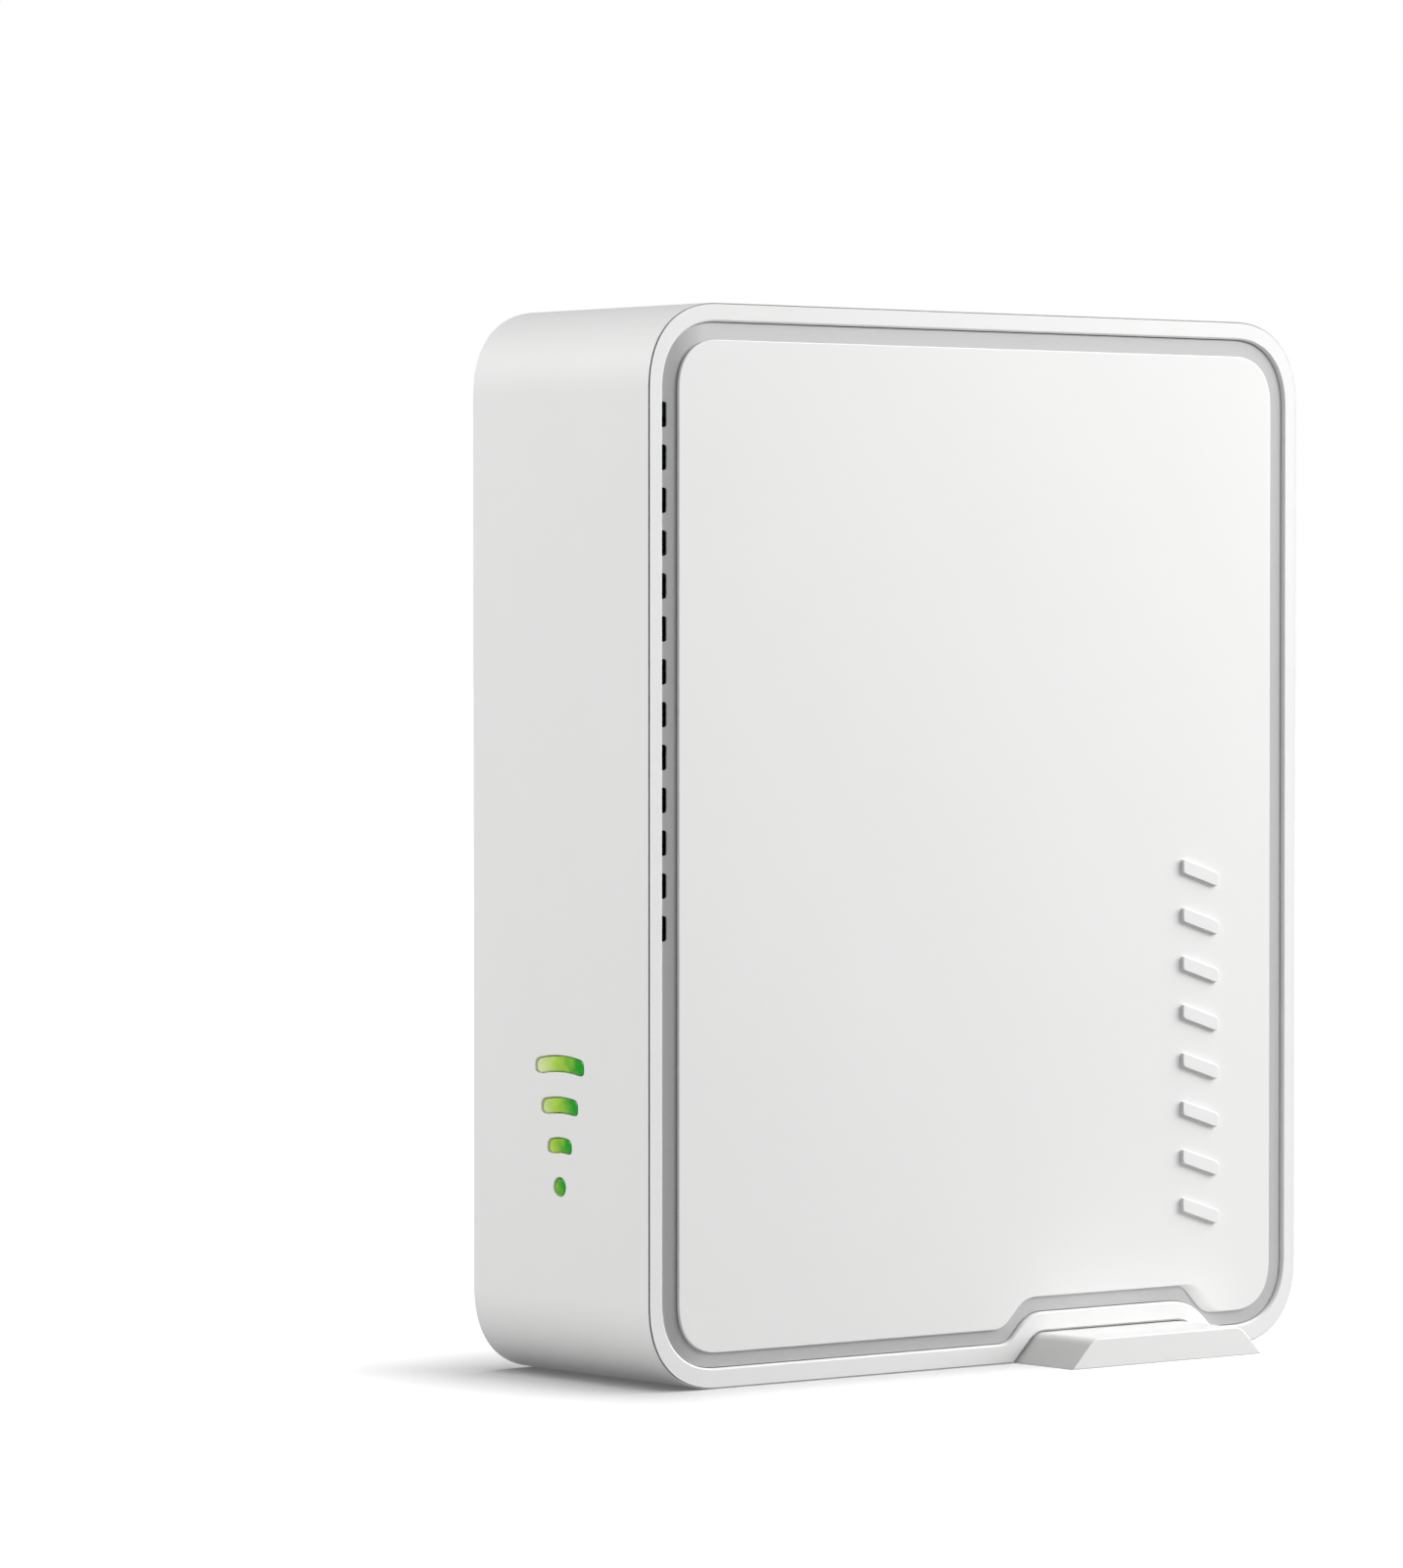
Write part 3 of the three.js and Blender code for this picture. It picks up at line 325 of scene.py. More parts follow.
def combine(piece, tool, operation):
    """Cuts or joins with another object, which is then removed."""
    modifier = piece.modifiers.new("combine", "BOOLEAN")
    modifier.operation = operation
    modifier.object = tool
    modifier.solver = "EXACT"
    apply_modifiers(piece)
    bpy.data.objects.remove(tool)
    return piece


def cut(piece, tool):
    return combine(piece, tool, "DIFFERENCE")


def join(piece, tool):
    return combine(piece, tool, "UNION")


SHARP_ANGLE = math.radians(32)


def soften(piece, width, segments=3, angle=SHARP_ANGLE):
    """Rounds the piece's sharp edges and gives its faces smooth, weighted normals."""
    modifier = piece.modifiers.new("edges", "BEVEL")
    modifier.width = width
    modifier.segments = segments
    modifier.limit_method = "ANGLE"
    modifier.angle_limit = angle
    modifier.use_clamp_overlap = True
    modifier.harden_normals = False
    if "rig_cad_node" not in piece:
        apply_modifiers(piece)
    smooth_faces(piece)
    return piece


def smooth_faces(piece):
    for face in piece.data.polygons:
        face.use_smooth = True
    weighted = piece.modifiers.new("normals", "WEIGHTED_NORMAL")
    weighted.keep_sharp = True
    weighted.weight = 80


# ------------------------------------------------------------------ materials


class Surface:
    """A material's node tree around one Principled shader, with patterns in object coordinates."""

    def __init__(self, name, colour, roughness, metallic=0.0, **sockets):
        self.material = bpy.data.materials.new(name)
        self.material.use_nodes = True
        self.tree = self.material.node_tree
        self.shader = self.tree.nodes["Principled BSDF"]
        self.shader.inputs["Base Color"].default_value = (*colour, 1)
        self.shader.inputs["Roughness"].default_value = roughness
        self.shader.inputs["Metallic"].default_value = metallic
        for socket, value in sockets.items():
            self.shader.inputs[socket.replace("_", " ")].default_value = value
        self.roughness = roughness
        self.place = self.node("ShaderNodeTexCoord").outputs["Object"]
        self.height = None

    def node(self, kind, **settings):
        made = self.tree.nodes.new(kind)
        for key, value in settings.items():
            setattr(made, key, value)
        return made

    def link(self, source, target):
        self.tree.links.new(source, target)

    def value(self, node, source, **values):
        """Links a source into the node's Vector socket and sets its other sockets."""
        if source is not None:
            self.link(source, node.inputs["Vector"])
        for socket, number in values.items():
            node.inputs[socket.replace("_", " ")].default_value = number
        return node

    def noise(self, size, detail=3.0, roughness=0.5, stretch=None):
        """Noise with features of about a size in metres, stretched along an axis if asked."""
        source = self.place
        if stretch:
            mapping = self.node("ShaderNodeMapping")
            mapping.inputs["Scale"].default_value = stretch
            self.link(self.place, mapping.inputs["Vector"])
            source = mapping.outputs["Vector"]
        made = self.value(self.node("ShaderNodeTexNoise"), source, Scale=1 / size, Detail=detail,
                          Roughness=roughness)
        return made.outputs["Fac"]

    def cells(self, size, feature="F1"):
        made = self.value(self.node("ShaderNodeTexVoronoi", feature=feature), self.place, Scale=1 / size)
        return made.outputs["Distance"]

    def span(self, source, low, high, from_low=0.3, from_high=0.7):
        made = self.node("ShaderNodeMapRange")
        self.link(source, made.inputs["Value"])
        made.inputs["From Min"].default_value = from_low
        made.inputs["From Max"].default_value = from_high
        made.inputs["To Min"].default_value = low
        made.inputs["To Max"].default_value = high
        return made.outputs["Result"]

    def mix(self, factor, first, second, blend="MIX"):
        """A colour between two colours, each a plain colour or a socket."""
        made = self.node("ShaderNodeMix", data_type="RGBA", blend_type=blend)
        sockets = [made.inputs[0], made.inputs[6], made.inputs[7]]
        for socket, item in zip(sockets, (factor, first, second)):
            if isinstance(item, bpy.types.NodeSocket):
                self.link(item, socket)
            elif socket is sockets[0]:
                socket.default_value = item
            else:
                socket.default_value = (*item, 1)
        return made.outputs[2]

    def paint(self, source):
        self.link(source, self.shader.inputs["Base Color"])
        return self

    def vary_roughness(self, source, spread):
        low = max(0.02, self.roughness - spread)
        high = min(1.0, self.roughness + spread)
        self.link(self.span(source, low, high), self.shader.inputs["Roughness"])
        return self

    def relief(self, source, depth):
        """Adds a bump of some depth in metres under any bump that is already there."""
        made = self.node("ShaderNodeBump")
        made.inputs["Strength"].default_value = 1.0
        made.inputs["Distance"].default_value = depth
        self.link(source, made.inputs["Height"])
        if self.height is not None:
            self.link(self.height, made.inputs["Normal"])
        self.height = made.outputs["Normal"]
        self.link(self.height, self.shader.inputs["Normal"])
        return self

    def axis(self, name):
        """The place along one axis, in metres."""
        split = self.node("ShaderNodeSeparateXYZ")
        self.link(self.place, split.inputs["Vector"])
        return split.outputs[name]


def scaled(colour, factor):
    return tuple(min(1.0, channel * factor) for channel in colour)


def moulded(
    name, colour, roughness, grain=0.22 * MM, depth=0.002 * MM, mottle=0.02, sheen=0.04, **sockets
):
    """Moulded plastic: fine spark-eroded grain, faint flow marks and uneven sheen."""
    surface = Surface(name, colour, roughness, **sockets)
    flow = surface.span(surface.noise(28 * MM, detail=2.0), 0, 1)
    surface.paint(surface.mix(flow, scaled(colour, 1 - mottle), scaled(colour, 1 + mottle)))
    surface.vary_roughness(surface.noise(6 * MM, detail=4.0), sheen)
    surface.relief(surface.noise(18 * MM, detail=1.0), depth * 4)
    surface.relief(surface.noise(grain, detail=2.0), depth)
    return surface


def metal(name, colour, roughness, brush=None, **sockets):
    """Bare or plated metal: brushed along an axis, or softly clouded."""
    surface = Surface(name, colour, roughness, metallic=1.0, **sockets)
    streaks = surface.noise(0.35 * MM, detail=4.0, stretch=brush or (1, 1, 1))
    cloud = surface.noise(5 * MM, detail=3.0)
    surface.paint(surface.mix(surface.span(cloud, 0, 1), scaled(colour, 0.88), scaled(colour, 1.05)))
    surface.vary_roughness(streaks, 0.1)
    surface.relief(streaks, 0.003 * MM)
    return surface


def rubber(name, colour):
    surface = Surface(name, colour, 0.75, Specular_IOR_Level=0.3)
    dust = surface.noise(1.5 * MM, detail=6.0, roughness=0.7)
    surface.paint(surface.mix(surface.span(dust, 0, 1, 0.5, 0.85), colour, scaled(colour, 1.7)))
    surface.vary_roughness(dust, 0.12)
    surface.relief(surface.noise(0.3 * MM, detail=3.0), 0.015 * MM)
    return surface


def circuit_board(name):
    """Green solder mask over copper tracks, with pale pads and via dots."""
    mask = (0.012, 0.12, 0.05)
    track = (0.03, 0.24, 0.10)
    surface = Surface(name, mask, 0.32, Coat_Weight=0.25, Coat_Roughness=0.15)
    bricks = surface.node("ShaderNodeTexBrick")
    bricks.offset = 0.37
    surface.value(bricks, None, Scale=1.0, Mortar_Size=0.00022, Brick_Width=0.0065, Row_Height=0.0011)
    turned_place = surface.node("ShaderNodeMapping")
    turned_place.inputs["Rotation"].default_value = (math.pi / 2, 0, 0)
    surface.link(surface.place, turned_place.inputs["Vector"])
    surface.link(turned_place.outputs["Vector"], bricks.inputs["Vector"])
    tracks = surface.mix(bricks.outputs["Fac"], mask, track)
    vias = surface.span(surface.cells(2.6 * MM), 1, 0, 0.10, 0.14)
    surface.paint(surface.mix(vias, tracks, (0.55, 0.52, 0.40)))
    surface.relief(bricks.outputs["Fac"], 0.03 * MM)
    surface.vary_roughness(surface.noise(4 * MM), 0.05)
    return surface


def epoxy(name):
    """A chip's moulded package: matt black with a sandy grain."""
    colour = (0.018, 0.018, 0.02)
    surface = Surface(name, colour, 0.55)
    grain = surface.noise(0.12 * MM, detail=3.0)
    surface.paint(surface.mix(surface.span(grain, 0, 1), colour, scaled(colour, 2.0)))
    surface.relief(grain, 0.01 * MM)
    surface.vary_roughness(grain, 0.1)
    return surface


DEEP_GREEN = (0.004, 0.26, 0.008)
MIDDLE_GREEN = (0.31, 0.50, 0.045)
PALE_GREEN = (0.55, 0.63, 0.33)
MIDDLE_SHARE = 0.55


def light_pipe(name, front, rear):
    """A lit green lens that pales from front to rear, two places along Y."""
    surface = Surface(
        name, DEEP_GREEN, 0.16, Coat_Weight=0.2, Coat_Roughness=0.05, Specular_IOR_Level=0.3
    )
    along = surface.span(surface.axis("Y"), 0, 1, front, rear)
    cloud = surface.span(surface.noise(1.2 * MM, detail=2.0), -0.08, 0.08)
    total = surface.node("ShaderNodeMath", operation="ADD", use_clamp=True)
    surface.link(along, total.inputs[0])
    surface.link(cloud, total.inputs[1])
    share = total.outputs["Value"]
    front_shade = surface.mix(surface.span(share, 0, 1, 0.1, MIDDLE_SHARE), DEEP_GREEN, MIDDLE_GREEN)
    shade = surface.mix(surface.span(share, 0, 1, MIDDLE_SHARE, 1.0), front_shade, PALE_GREEN)
    surface.paint(shade)
    surface.link(shade, surface.shader.inputs["Emission Color"])
    surface.shader.inputs["Emission Strength"].default_value = 0.22
    surface.relief(surface.noise(0.5 * MM, detail=1.0), 0.004 * MM)
    return surface


def ring_paint_and_left_shade(name):
    """Silver-grey paint with fine flakes, with painted shade that darkens the ring down its left side."""
    surface = Surface(name, (0.46, 0.465, 0.47), 0.42, metallic=0.10)
    surface.vary_roughness(surface.noise(3 * MM, detail=5.0), 0.04)
    surface.relief(surface.noise(0.10 * MM, detail=2.0), 0.002 * MM)
    flake = surface.span(surface.cells(0.14 * MM), 0, 1, 0.1, 0.6)
    # painted shade: a darker copy of the grey down the ring's left side, fading into the plain grey
    # between 5 and 10 mm from the left edge
    inward = surface.span(surface.axis("X"), 0, 1, 5 * MM - HALF_WIDTH, 10 * MM - HALF_WIDTH)
    painted_shade_grey = surface.mix(flake, (0.385, 0.387, 0.39), (0.425, 0.427, 0.43))
    unshaded_grey = surface.mix(flake, (0.62, 0.622, 0.625), (0.67, 0.672, 0.675))
    return surface.paint(surface.mix(inward, painted_shade_grey, unshaded_grey))


CASING = moulded("casing_plastic", (0.80, 0.80, 0.795), 0.33, mottle=0.006, sheen=0.02)
PANEL_GLOSS = moulded(
    "panel_plastic", (0.805, 0.805, 0.80), 0.30, depth=0.001 * MM, mottle=0.004, sheen=0.012
)
GREY_PLASTIC = moulded(
    "socket_plate_plastic", (0.30, 0.305, 0.31), 0.5, grain=0.3 * MM, depth=0.012 * MM
)
BLACK_PLASTIC = moulded(
    "black_plastic", (0.02, 0.02, 0.022), 0.42, grain=0.25 * MM, depth=0.008 * MM, mottle=0.2
)
RED_PLASTIC = moulded("red_plastic", (0.50, 0.04, 0.03), 0.4, mottle=0.05)
BLUE_PLASTIC = moulded("blue_plastic", (0.05, 0.18, 0.42), 0.4, mottle=0.05)
YELLOW_PLASTIC = moulded("yellow_plastic", (0.74, 0.46, 0.04), 0.4, mottle=0.05)
FERRITE = moulded("ferrite", (0.05, 0.05, 0.055), 0.7, grain=0.4 * MM, depth=0.03 * MM, mottle=0.15)
DIODE = moulded("diode_body", (0.85, 0.83, 0.62), 0.35, mottle=0.03)
FILM = moulded("ribbon_film", (0.78, 0.73, 0.60), 0.4, grain=0.9 * MM, depth=0.02 * MM, mottle=0.04)
LABEL = moulded(
    "label_film", (0.66, 0.67, 0.68), 0.42, grain=0.15 * MM, depth=0.004 * MM, mottle=0.03, Metallic=0.3
)
SILICONE = rubber("silicone_pad", (0.24, 0.36, 0.44))
PAD_RUBBER = rubber("pad_rubber", (0.035, 0.035, 0.038))
BLACK_JACKET = rubber("black_jacket", (0.02, 0.02, 0.02))
WHITE_JACKET = rubber("white_jacket", (0.62, 0.62, 0.60))
BOARD_SURFACE = circuit_board("circuit_board")
PACKAGE = epoxy("chip_package")
TRIM = ring_paint_and_left_shade("trim_paint")
TIN = metal("tinned_steel", (0.66, 0.66, 0.65), 0.32)
FIN = metal("fin_aluminium", (0.62, 0.63, 0.65), 0.38, brush=(8, 8, 0.4))
CAN = metal("can_aluminium", (0.74, 0.75, 0.77), 0.3, brush=(6, 0.5, 6))
GOLD = metal("contact_gold", (0.86, 0.62, 0.26), 0.22)


def dress(piece, surface):
    """Gives a piece or a CAD node one material, in every slot that it has."""
    materials = piece.data.materials
    if not materials:
        materials.append(surface.material)
    for index in range(len(materials)):
        materials[index] = surface.material
    return piece


def piece_of(piece, node, surface, slot, *others):
    """A finished piece of the router that stands for one CAD node or more."""
    dress(piece, surface)
    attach(piece, ROOT)
    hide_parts(node, *others)
    return piece


# ------------------------------------------------------------------ the case

def arc_outline(node, sag, grow):
    """A status mark's outline: an arched bar with rounded ends, in the Y-Z plane."""
    low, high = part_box(node)
    half = high.y
    top = high.z + grow
    depth = high.z - low.z - sag * 0.84 + 2 * grow
    radius = min(0.9 * MM, depth * 0.42)
    lower_radius = radius * 1.4
    end = half + grow

    def arch(y):
        return top - sag * (y / half) ** 2

    def run(reach, drop, steps=28):
        places = [reach * (1 - 2 * i / steps) for i in range(steps + 1)]
        return [(y, arch(y) - drop) for y in places]

    def rounding(sign, *points):
        return bend(*[(sign * y, z) for y, z in points], 8)[1:-1]

    upper = run(end - radius, 0)
    lower = run(end - lower_radius, depth)[::-1]
    tip = arch(end)
    upper_corner = ((end - radius, upper[0][1]), (end, tip), (end, tip - radius))
    base = tip - depth
    lower_corner = ((end, base + radius), (end, base + 0.2 * radius), (end - lower_radius, lower[0][1]))
    return (
        upper
        + rounding(-1, *upper_corner)
        + [(-end, tip - radius), (-end, base + radius)]
        + rounding(-1, *lower_corner)
        + lower
        + rounding(1, *lower_corner[::-1])
        + [(end, base + radius), (end, tip - radius)]
        + rounding(1, *upper_corner[::-1])
    )


def dot_outline(grow):
    low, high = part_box("light_lens_dot")
    return circle(0, (low.z + high.z) / 2, (high.z - low.z) / 2 + grow, 40)


def mark_outlines(grow):
    """Each status mark's CAD node and outline, moved out by grow."""
    arcs = [(node, arc_outline(node, sag, grow)) for node, sag in MARK_SAG.items()]
    return arcs + [("light_lens_dot", dot_outline(grow))]


def side_band():
    """The sleeve around the four narrow edges, mitred inwards at both ends."""
    edge = FRONT + BAND_SHIFT
    mitre_end = edge + WALL
    band = loft("side_band_shell", "y", [
        (edge, outline(even(0))),
        (-edge, outline(even(0))),
        (-mitre_end, outline(even(WALL))),
        (mitre_end, outline(even(WALL))),
    ], looped=True)
    reach = 1 * MM
    left_wall = (-HALF_WIDTH - reach, -HALF_WIDTH + WALL + reach)
    lights = [(points, *left_wall) for _, points in mark_outlines(0.12 * MM)]
    cut(band, prisms("lights", "x", lights))
    plate_centre = (PLATE_LOW.z + PLATE_HIGH.z) / 2
    window = rounded_rectangle(0, plate_centre, 26 * MM, 124 * MM, 2.8 * MM, 12)
    cut(band, prisms("window", "x", [(window, HALF_WIDTH - WALL - reach, HALF_WIDTH + reach)]))
    seats = []
    for node in ("base_pad_front", "base_pad_rear"):
        low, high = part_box(node)
        centre = (low + high) / 2
        seats.append((circle(centre.x, centre.y, (high.x - low.x) / 2 + GAP), -reach, high.z + GAP))
    for side in (-1, 1):
        slot = rounded_rectangle(FOOT_CENTRE, side * PEG_PLACE, 8.6 * MM, 3.6 * MM, 0.3 * MM, 3)
        seats.append((slot, NOTCH_HEIGHT - reach, NOTCH_HEIGHT + WALL + reach))
    cut(band, prisms("seats", "z", seats))
    soften(band, 0.16 * MM)
    return piece_of(band, "side_band", CASING, "casing_white")


def front_cover():
    """The front plate: mitred edge, flat rim, recess for the ring and the panel, and bosses."""
    floor_front = RING_BACK + GAP
    floor_back = floor_front + RING_FLOOR
    mitre = FRONT + MITRE
    cover = loft("front_cover_shell", "y", [
        (floor_back, outline(even(WALL + GAP))),
        (mitre, outline(even(WALL + GAP))),
        (mitre, outline(even(COVER_SHIFT + MITRE))),
        (FRONT, outline(even(COVER_SHIFT))),
        (FRONT, outline(further(RIM, -RIM_CHAMFER), RIM_BENDS)),
        (FRONT + RIM_CHAMFER, outline(RIM, RIM_BENDS)),
        (floor_front, outline(RIM, RIM_BENDS)),
    ])
    rods = [
        (circle(x, z, 3 * MM, 32), floor_back - 0.7 * MM, BACK_INSIDE - GAP) for x, z in BOSS_PLACES
    ]
    join(cover, prisms("bosses", "y", rods))
    pilots = [(circle(x, z, 1.3 * MM, 24), 8 * MM, BACK) for x, z in BOSS_PLACES]
    cut(cover, prisms("pilots", "y", pilots))
    slit = vent_window(2.8 * MM)
    cut(cover, prisms("slit", "y", [(slit, floor_front - MM, floor_back + MM)]))
    soften(cover, 0.12 * MM)
    return piece_of(cover, "front_cover", CASING, "casing_white")


def vent_window(left):
    """The upright opening behind all the vent slots, in the X-Z plane."""
    margin = 2.3 * MM
    low = SLOT_PLACES[-1] - margin
    high = SLOT_PLACES[0] + margin
    return box_outline(left - HALF_WIDTH, 5.8 * MM - HALF_WIDTH, low, high)


def trim_ring():
    """The silver-grey ring in the groove: it falls a little towards the rim, and has the vent slots."""
    outer = further(RIM, 0.1 * MM)
    inner = further(PANEL, WALL)
    face = FRONT + GROOVE
    ring = loft("trim_ring_plate", "y", [
        (face + GROOVE_FALL, outline(outer, RIM_BENDS)),
        (RING_BACK, outline(outer, RIM_BENDS)),
        (RING_BACK, outline(inner, PANEL_BENDS)),
        (face, outline(inner, PANEL_BENDS)),
        (face, outline(further(PANEL, 0.15 * MM), PANEL_BENDS)),
    ], looped=True)
    slot_centre = SLOT_INNER - MM - HALF_WIDTH
    slots = [
        (rounded_rectangle(slot_centre, z, 2 * MM, 3.5 * MM, 0.45 * MM, 5), FRONT, RING_BACK + MM)
        for z in SLOT_PLACES
    ]
    pocket = (vent_window(2.95 * MM), face + GROOVE_FALL + 0.2 * MM, RING_BACK + MM)
    cut(ring, prisms("pocket", "y", [pocket]))
    cut(ring, prisms("slots", "y", slots))
    soften(ring, 0.05 * MM, 2)
    return piece_of(ring, "trim_ring", TRIM, "trim_silver")


PanelEdge = namedtuple("PanelEdge", "depth inset ramp")
PANEL_EDGES = [
    PanelEdge(0, 0.17 * MM, 0),
    PanelEdge(0.015 * MM, 0.09 * MM, 0.2 * MM),
    PanelEdge(0.05 * MM, 0.035 * MM, 0.6 * MM),
    PanelEdge(0.12 * MM, 0, 1.15 * MM),
    PanelEdge(0.25 * MM, 0, 1.8 * MM),
    PanelEdge(GROOVE - 0.05 * MM, 0, PANEL_RAMP),
]
RIB_COUNT = 8
RIB_PITCH = 7.05 * MM
RIB_LOWEST = 18 * MM


def front_panel():
    """The smooth front panel with its row of slanted raised ribs."""
    inner = outline(further(PANEL, WALL + GAP), PANEL_BENDS)
    sections = [
        (FRONT + edge.depth, outline(further(PANEL, edge.inset), PANEL_BENDS, edge.ramp))
        for edge in PANEL_EDGES
    ]
    sections.append((FRONT + PANEL_EDGES[-1].depth, inner))
    sections.append((RING_BACK, inner))
    panel = loft("front_panel_plate", "y", sections)
    ribs = []
    for index in range(RIB_COUNT):
        low = RIB_LOWEST + RIB_PITCH * index
        shape = slanted_bar(38 * MM, 45 * MM, low, 2.0 * MM, 2.2 * MM, 0.5 * MM)
        ribs.append((shape, PANEL_LOW.y, FRONT + 0.3 * MM))
    join(panel, prisms("ribs", "y", ribs))
    soften(panel, 0.1 * MM, 3)
    return piece_of(panel, "front_panel", PANEL_GLOSS, "panel_white")


def slanted_bar(left, right, low, thickness, slant, radius):
    """A bar across the row that falls to the right, with rounded corners."""
    high = low + thickness
    corners = [(left, low + slant), (right, low), (right, high), (left, high + slant)]
    points = []
    for index, corner in enumerate(corners):
        before = Vector(corners[index - 1]) - Vector(corner)
        after = Vector(corners[(index + 1) % 4]) - Vector(corner)
        start = Vector(corner) + before.normalized() * radius
        end = Vector(corner) + after.normalized() * radius
        points += bend(start, corner, end, 5)
    return points


def back_cover():
    """The back plate: vent slots, a seat for the label, screw seats and board posts."""
    mitre = BACK - MITRE
    cover = loft("back_cover_shell", "y", [
        (BACK_INSIDE, outline(even(WALL + GAP))),
        (mitre, outline(even(WALL + GAP))),
        (mitre, outline(even(COVER_SHIFT + MITRE))),
        (BACK, outline(even(COVER_SHIFT))),
    ])
    board_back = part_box("main_board")[1].y
    posts = [
        (circle(x, z, 2.5 * MM, 24), board_back + GAP, BACK_INSIDE + 0.7 * MM) for x, z in POST_PLACES
    ]
    join(cover, prisms("posts", "y", posts))
    through = (BACK_INSIDE - MM, BACK + MM)
    vents = [
        (rounded_rectangle(x, z, 22 * MM, 2 * MM, 0.98 * MM, 8), *through)
        for x in VENT_COLUMNS for z in VENT_ROWS
    ]
    vents += [(circle(x, z, 1.4 * MM, 24), *through) for x, z in BOSS_PLACES]
    cut(cover, prisms("vents", "y", vents))
    seats = [(circle(x, z, 2.9 * MM), BACK - 1.1 * MM, BACK + MM) for x, z in BOSS_PLACES]
    label = rounded_rectangle(0, 55 * MM, 52 * MM, 30 * MM, 2 * MM, 10)
    seats.append((label, BACK - 0.5 * MM, BACK + MM))
    cut(cover, prisms("label_seat", "y", seats))
    soften(cover, 0.16 * MM)
    return piece_of(cover, "back_cover", CASING, "casing_white")


def rating_label():
    low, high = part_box("rating_label")
    centre = (low + high) / 2
    size = high - low
    shape = rounded_rectangle(centre.x, centre.z, size.x, size.z, 1.7 * MM, 10)
    label = prisms("rating_label_film", "y", [(shape, low.y, high.y)])
    soften(label, 0.08 * MM, 2)
    return piece_of(label, "rating_label", LABEL, "label_film")


# ------------------------------------------------------------------ foot


def foot_section(height, edge):
    """The foot's section in the X-Z plane: sloped ends, and an upper edge rounded by edge."""
    shift = GAP / SIN45
    left = NOTCH_LEFT + shift
    right = NOTCH_RIGHT - shift
    top_left = left + height
    top_right = right - height
    reach = edge * SIN45
    side = height - reach
    return (
        [(left, 0), (right, 0)]
        + bend((top_right + reach, side), (top_right, height), (top_right - edge, height), 12)
        + bend((top_left + edge, height), (top_left, height), (top_left - reach, side), 12)
    )


def stand_foot():
    """The cross foot, with its pad seats and snap pegs."""
    height = 4.16 * MM
    section = foot_section(height, 1.35 * MM)
    foot = prisms("stand_foot_bar", "y", [(section, FOOT_LOW.y, FOOT_HIGH.y)])
    seats = []
    for node in ("foot_pad_front", "foot_pad_rear"):
        low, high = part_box(node)
        centre = (low + high) / 2
        size = high - low
        margin = 2 * GAP
        seat = rounded_rectangle(centre.x, centre.y, size.x + margin, size.y + margin, 1.8 * MM, 8)
        seats.append((seat, -MM, high.z + GAP))
    cut(foot, prisms("seats", "z", seats))
    across = (FOOT_CENTRE - 4 * MM, FOOT_CENTRE + 4 * MM)
    for side in (-1, 1):
        middle = side * PEG_PLACE
        stem = box_outline(*across, middle - 1.5 * MM, middle + 1.5 * MM)
        join(foot, prisms("peg", "z", [(stem, height - GAP, FOOT_HIGH.z)]))
        reach = sorted((side * 11.2 * MM, side * 12.3 * MM))
        barb = box_outline(*across, *reach)
        join(foot, prisms("barb", "z", [(barb, 6.8 * MM, FOOT_HIGH.z - 0.4 * MM)]))
    soften(foot, 0.26 * MM, 4)
    return piece_of(foot, "stand_foot", CASING, "casing_white")


def pads():
    for node in ("foot_pad_front", "foot_pad_rear"):
        low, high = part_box(node)
        centre = (low + high) / 2
        size = high - low
        shape = rounded_rectangle(centre.x, centre.y, size.x, size.y, 1.5 * MM, 8)
        pad = prisms(node + "_block", "z", [(shape, low.z, high.z)])
        soften(pad, 0.25 * MM)
        piece_of(pad, node, PAD_RUBBER, "pad_rubber")
    for node in ("base_pad_front", "base_pad_rear"):
        low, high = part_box(node)
        centre = (low + high) / 2
        radius = (high.x - low.x) / 2
        pad = prisms(node + "_disc", "z", [(circle(centre.x, centre.y, radius, 64), low.z, high.z)])
        soften(pad, 0.2 * MM)
        piece_of(pad, node, PAD_RUBBER, "pad_rubber")


# ------------------------------------------------------------------ status lights


def light_lenses():
    """The four green light pipes, each with a rounded face and a shade of its own length."""
    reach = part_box("light_lens_large")[1].y
    for (node, points), (_, inner) in zip(mark_outlines(0), mark_outlines(-0.25 * MM)):
        low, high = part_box(node)
        face = low.x
        lens = loft(node + "_pipe", "x", [
            (high.x, points),
            (face + 0.3 * MM, points),
            (face + 0.12 * MM, shrunk(points, inner, 0.35)),
            (face, inner),
        ])
        soften(lens, 0.06 * MM, 2, math.radians(50))
        piece_of(lens, node, light_pipe(node + "_green", -high.y, reach), "lens_green")


# ------------------------------------------------------------------ socket side


def jack_outline(node, grow):
    low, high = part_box(node)
    return box_outline(low.y - grow, high.y + grow, low.z - grow, high.z + grow)


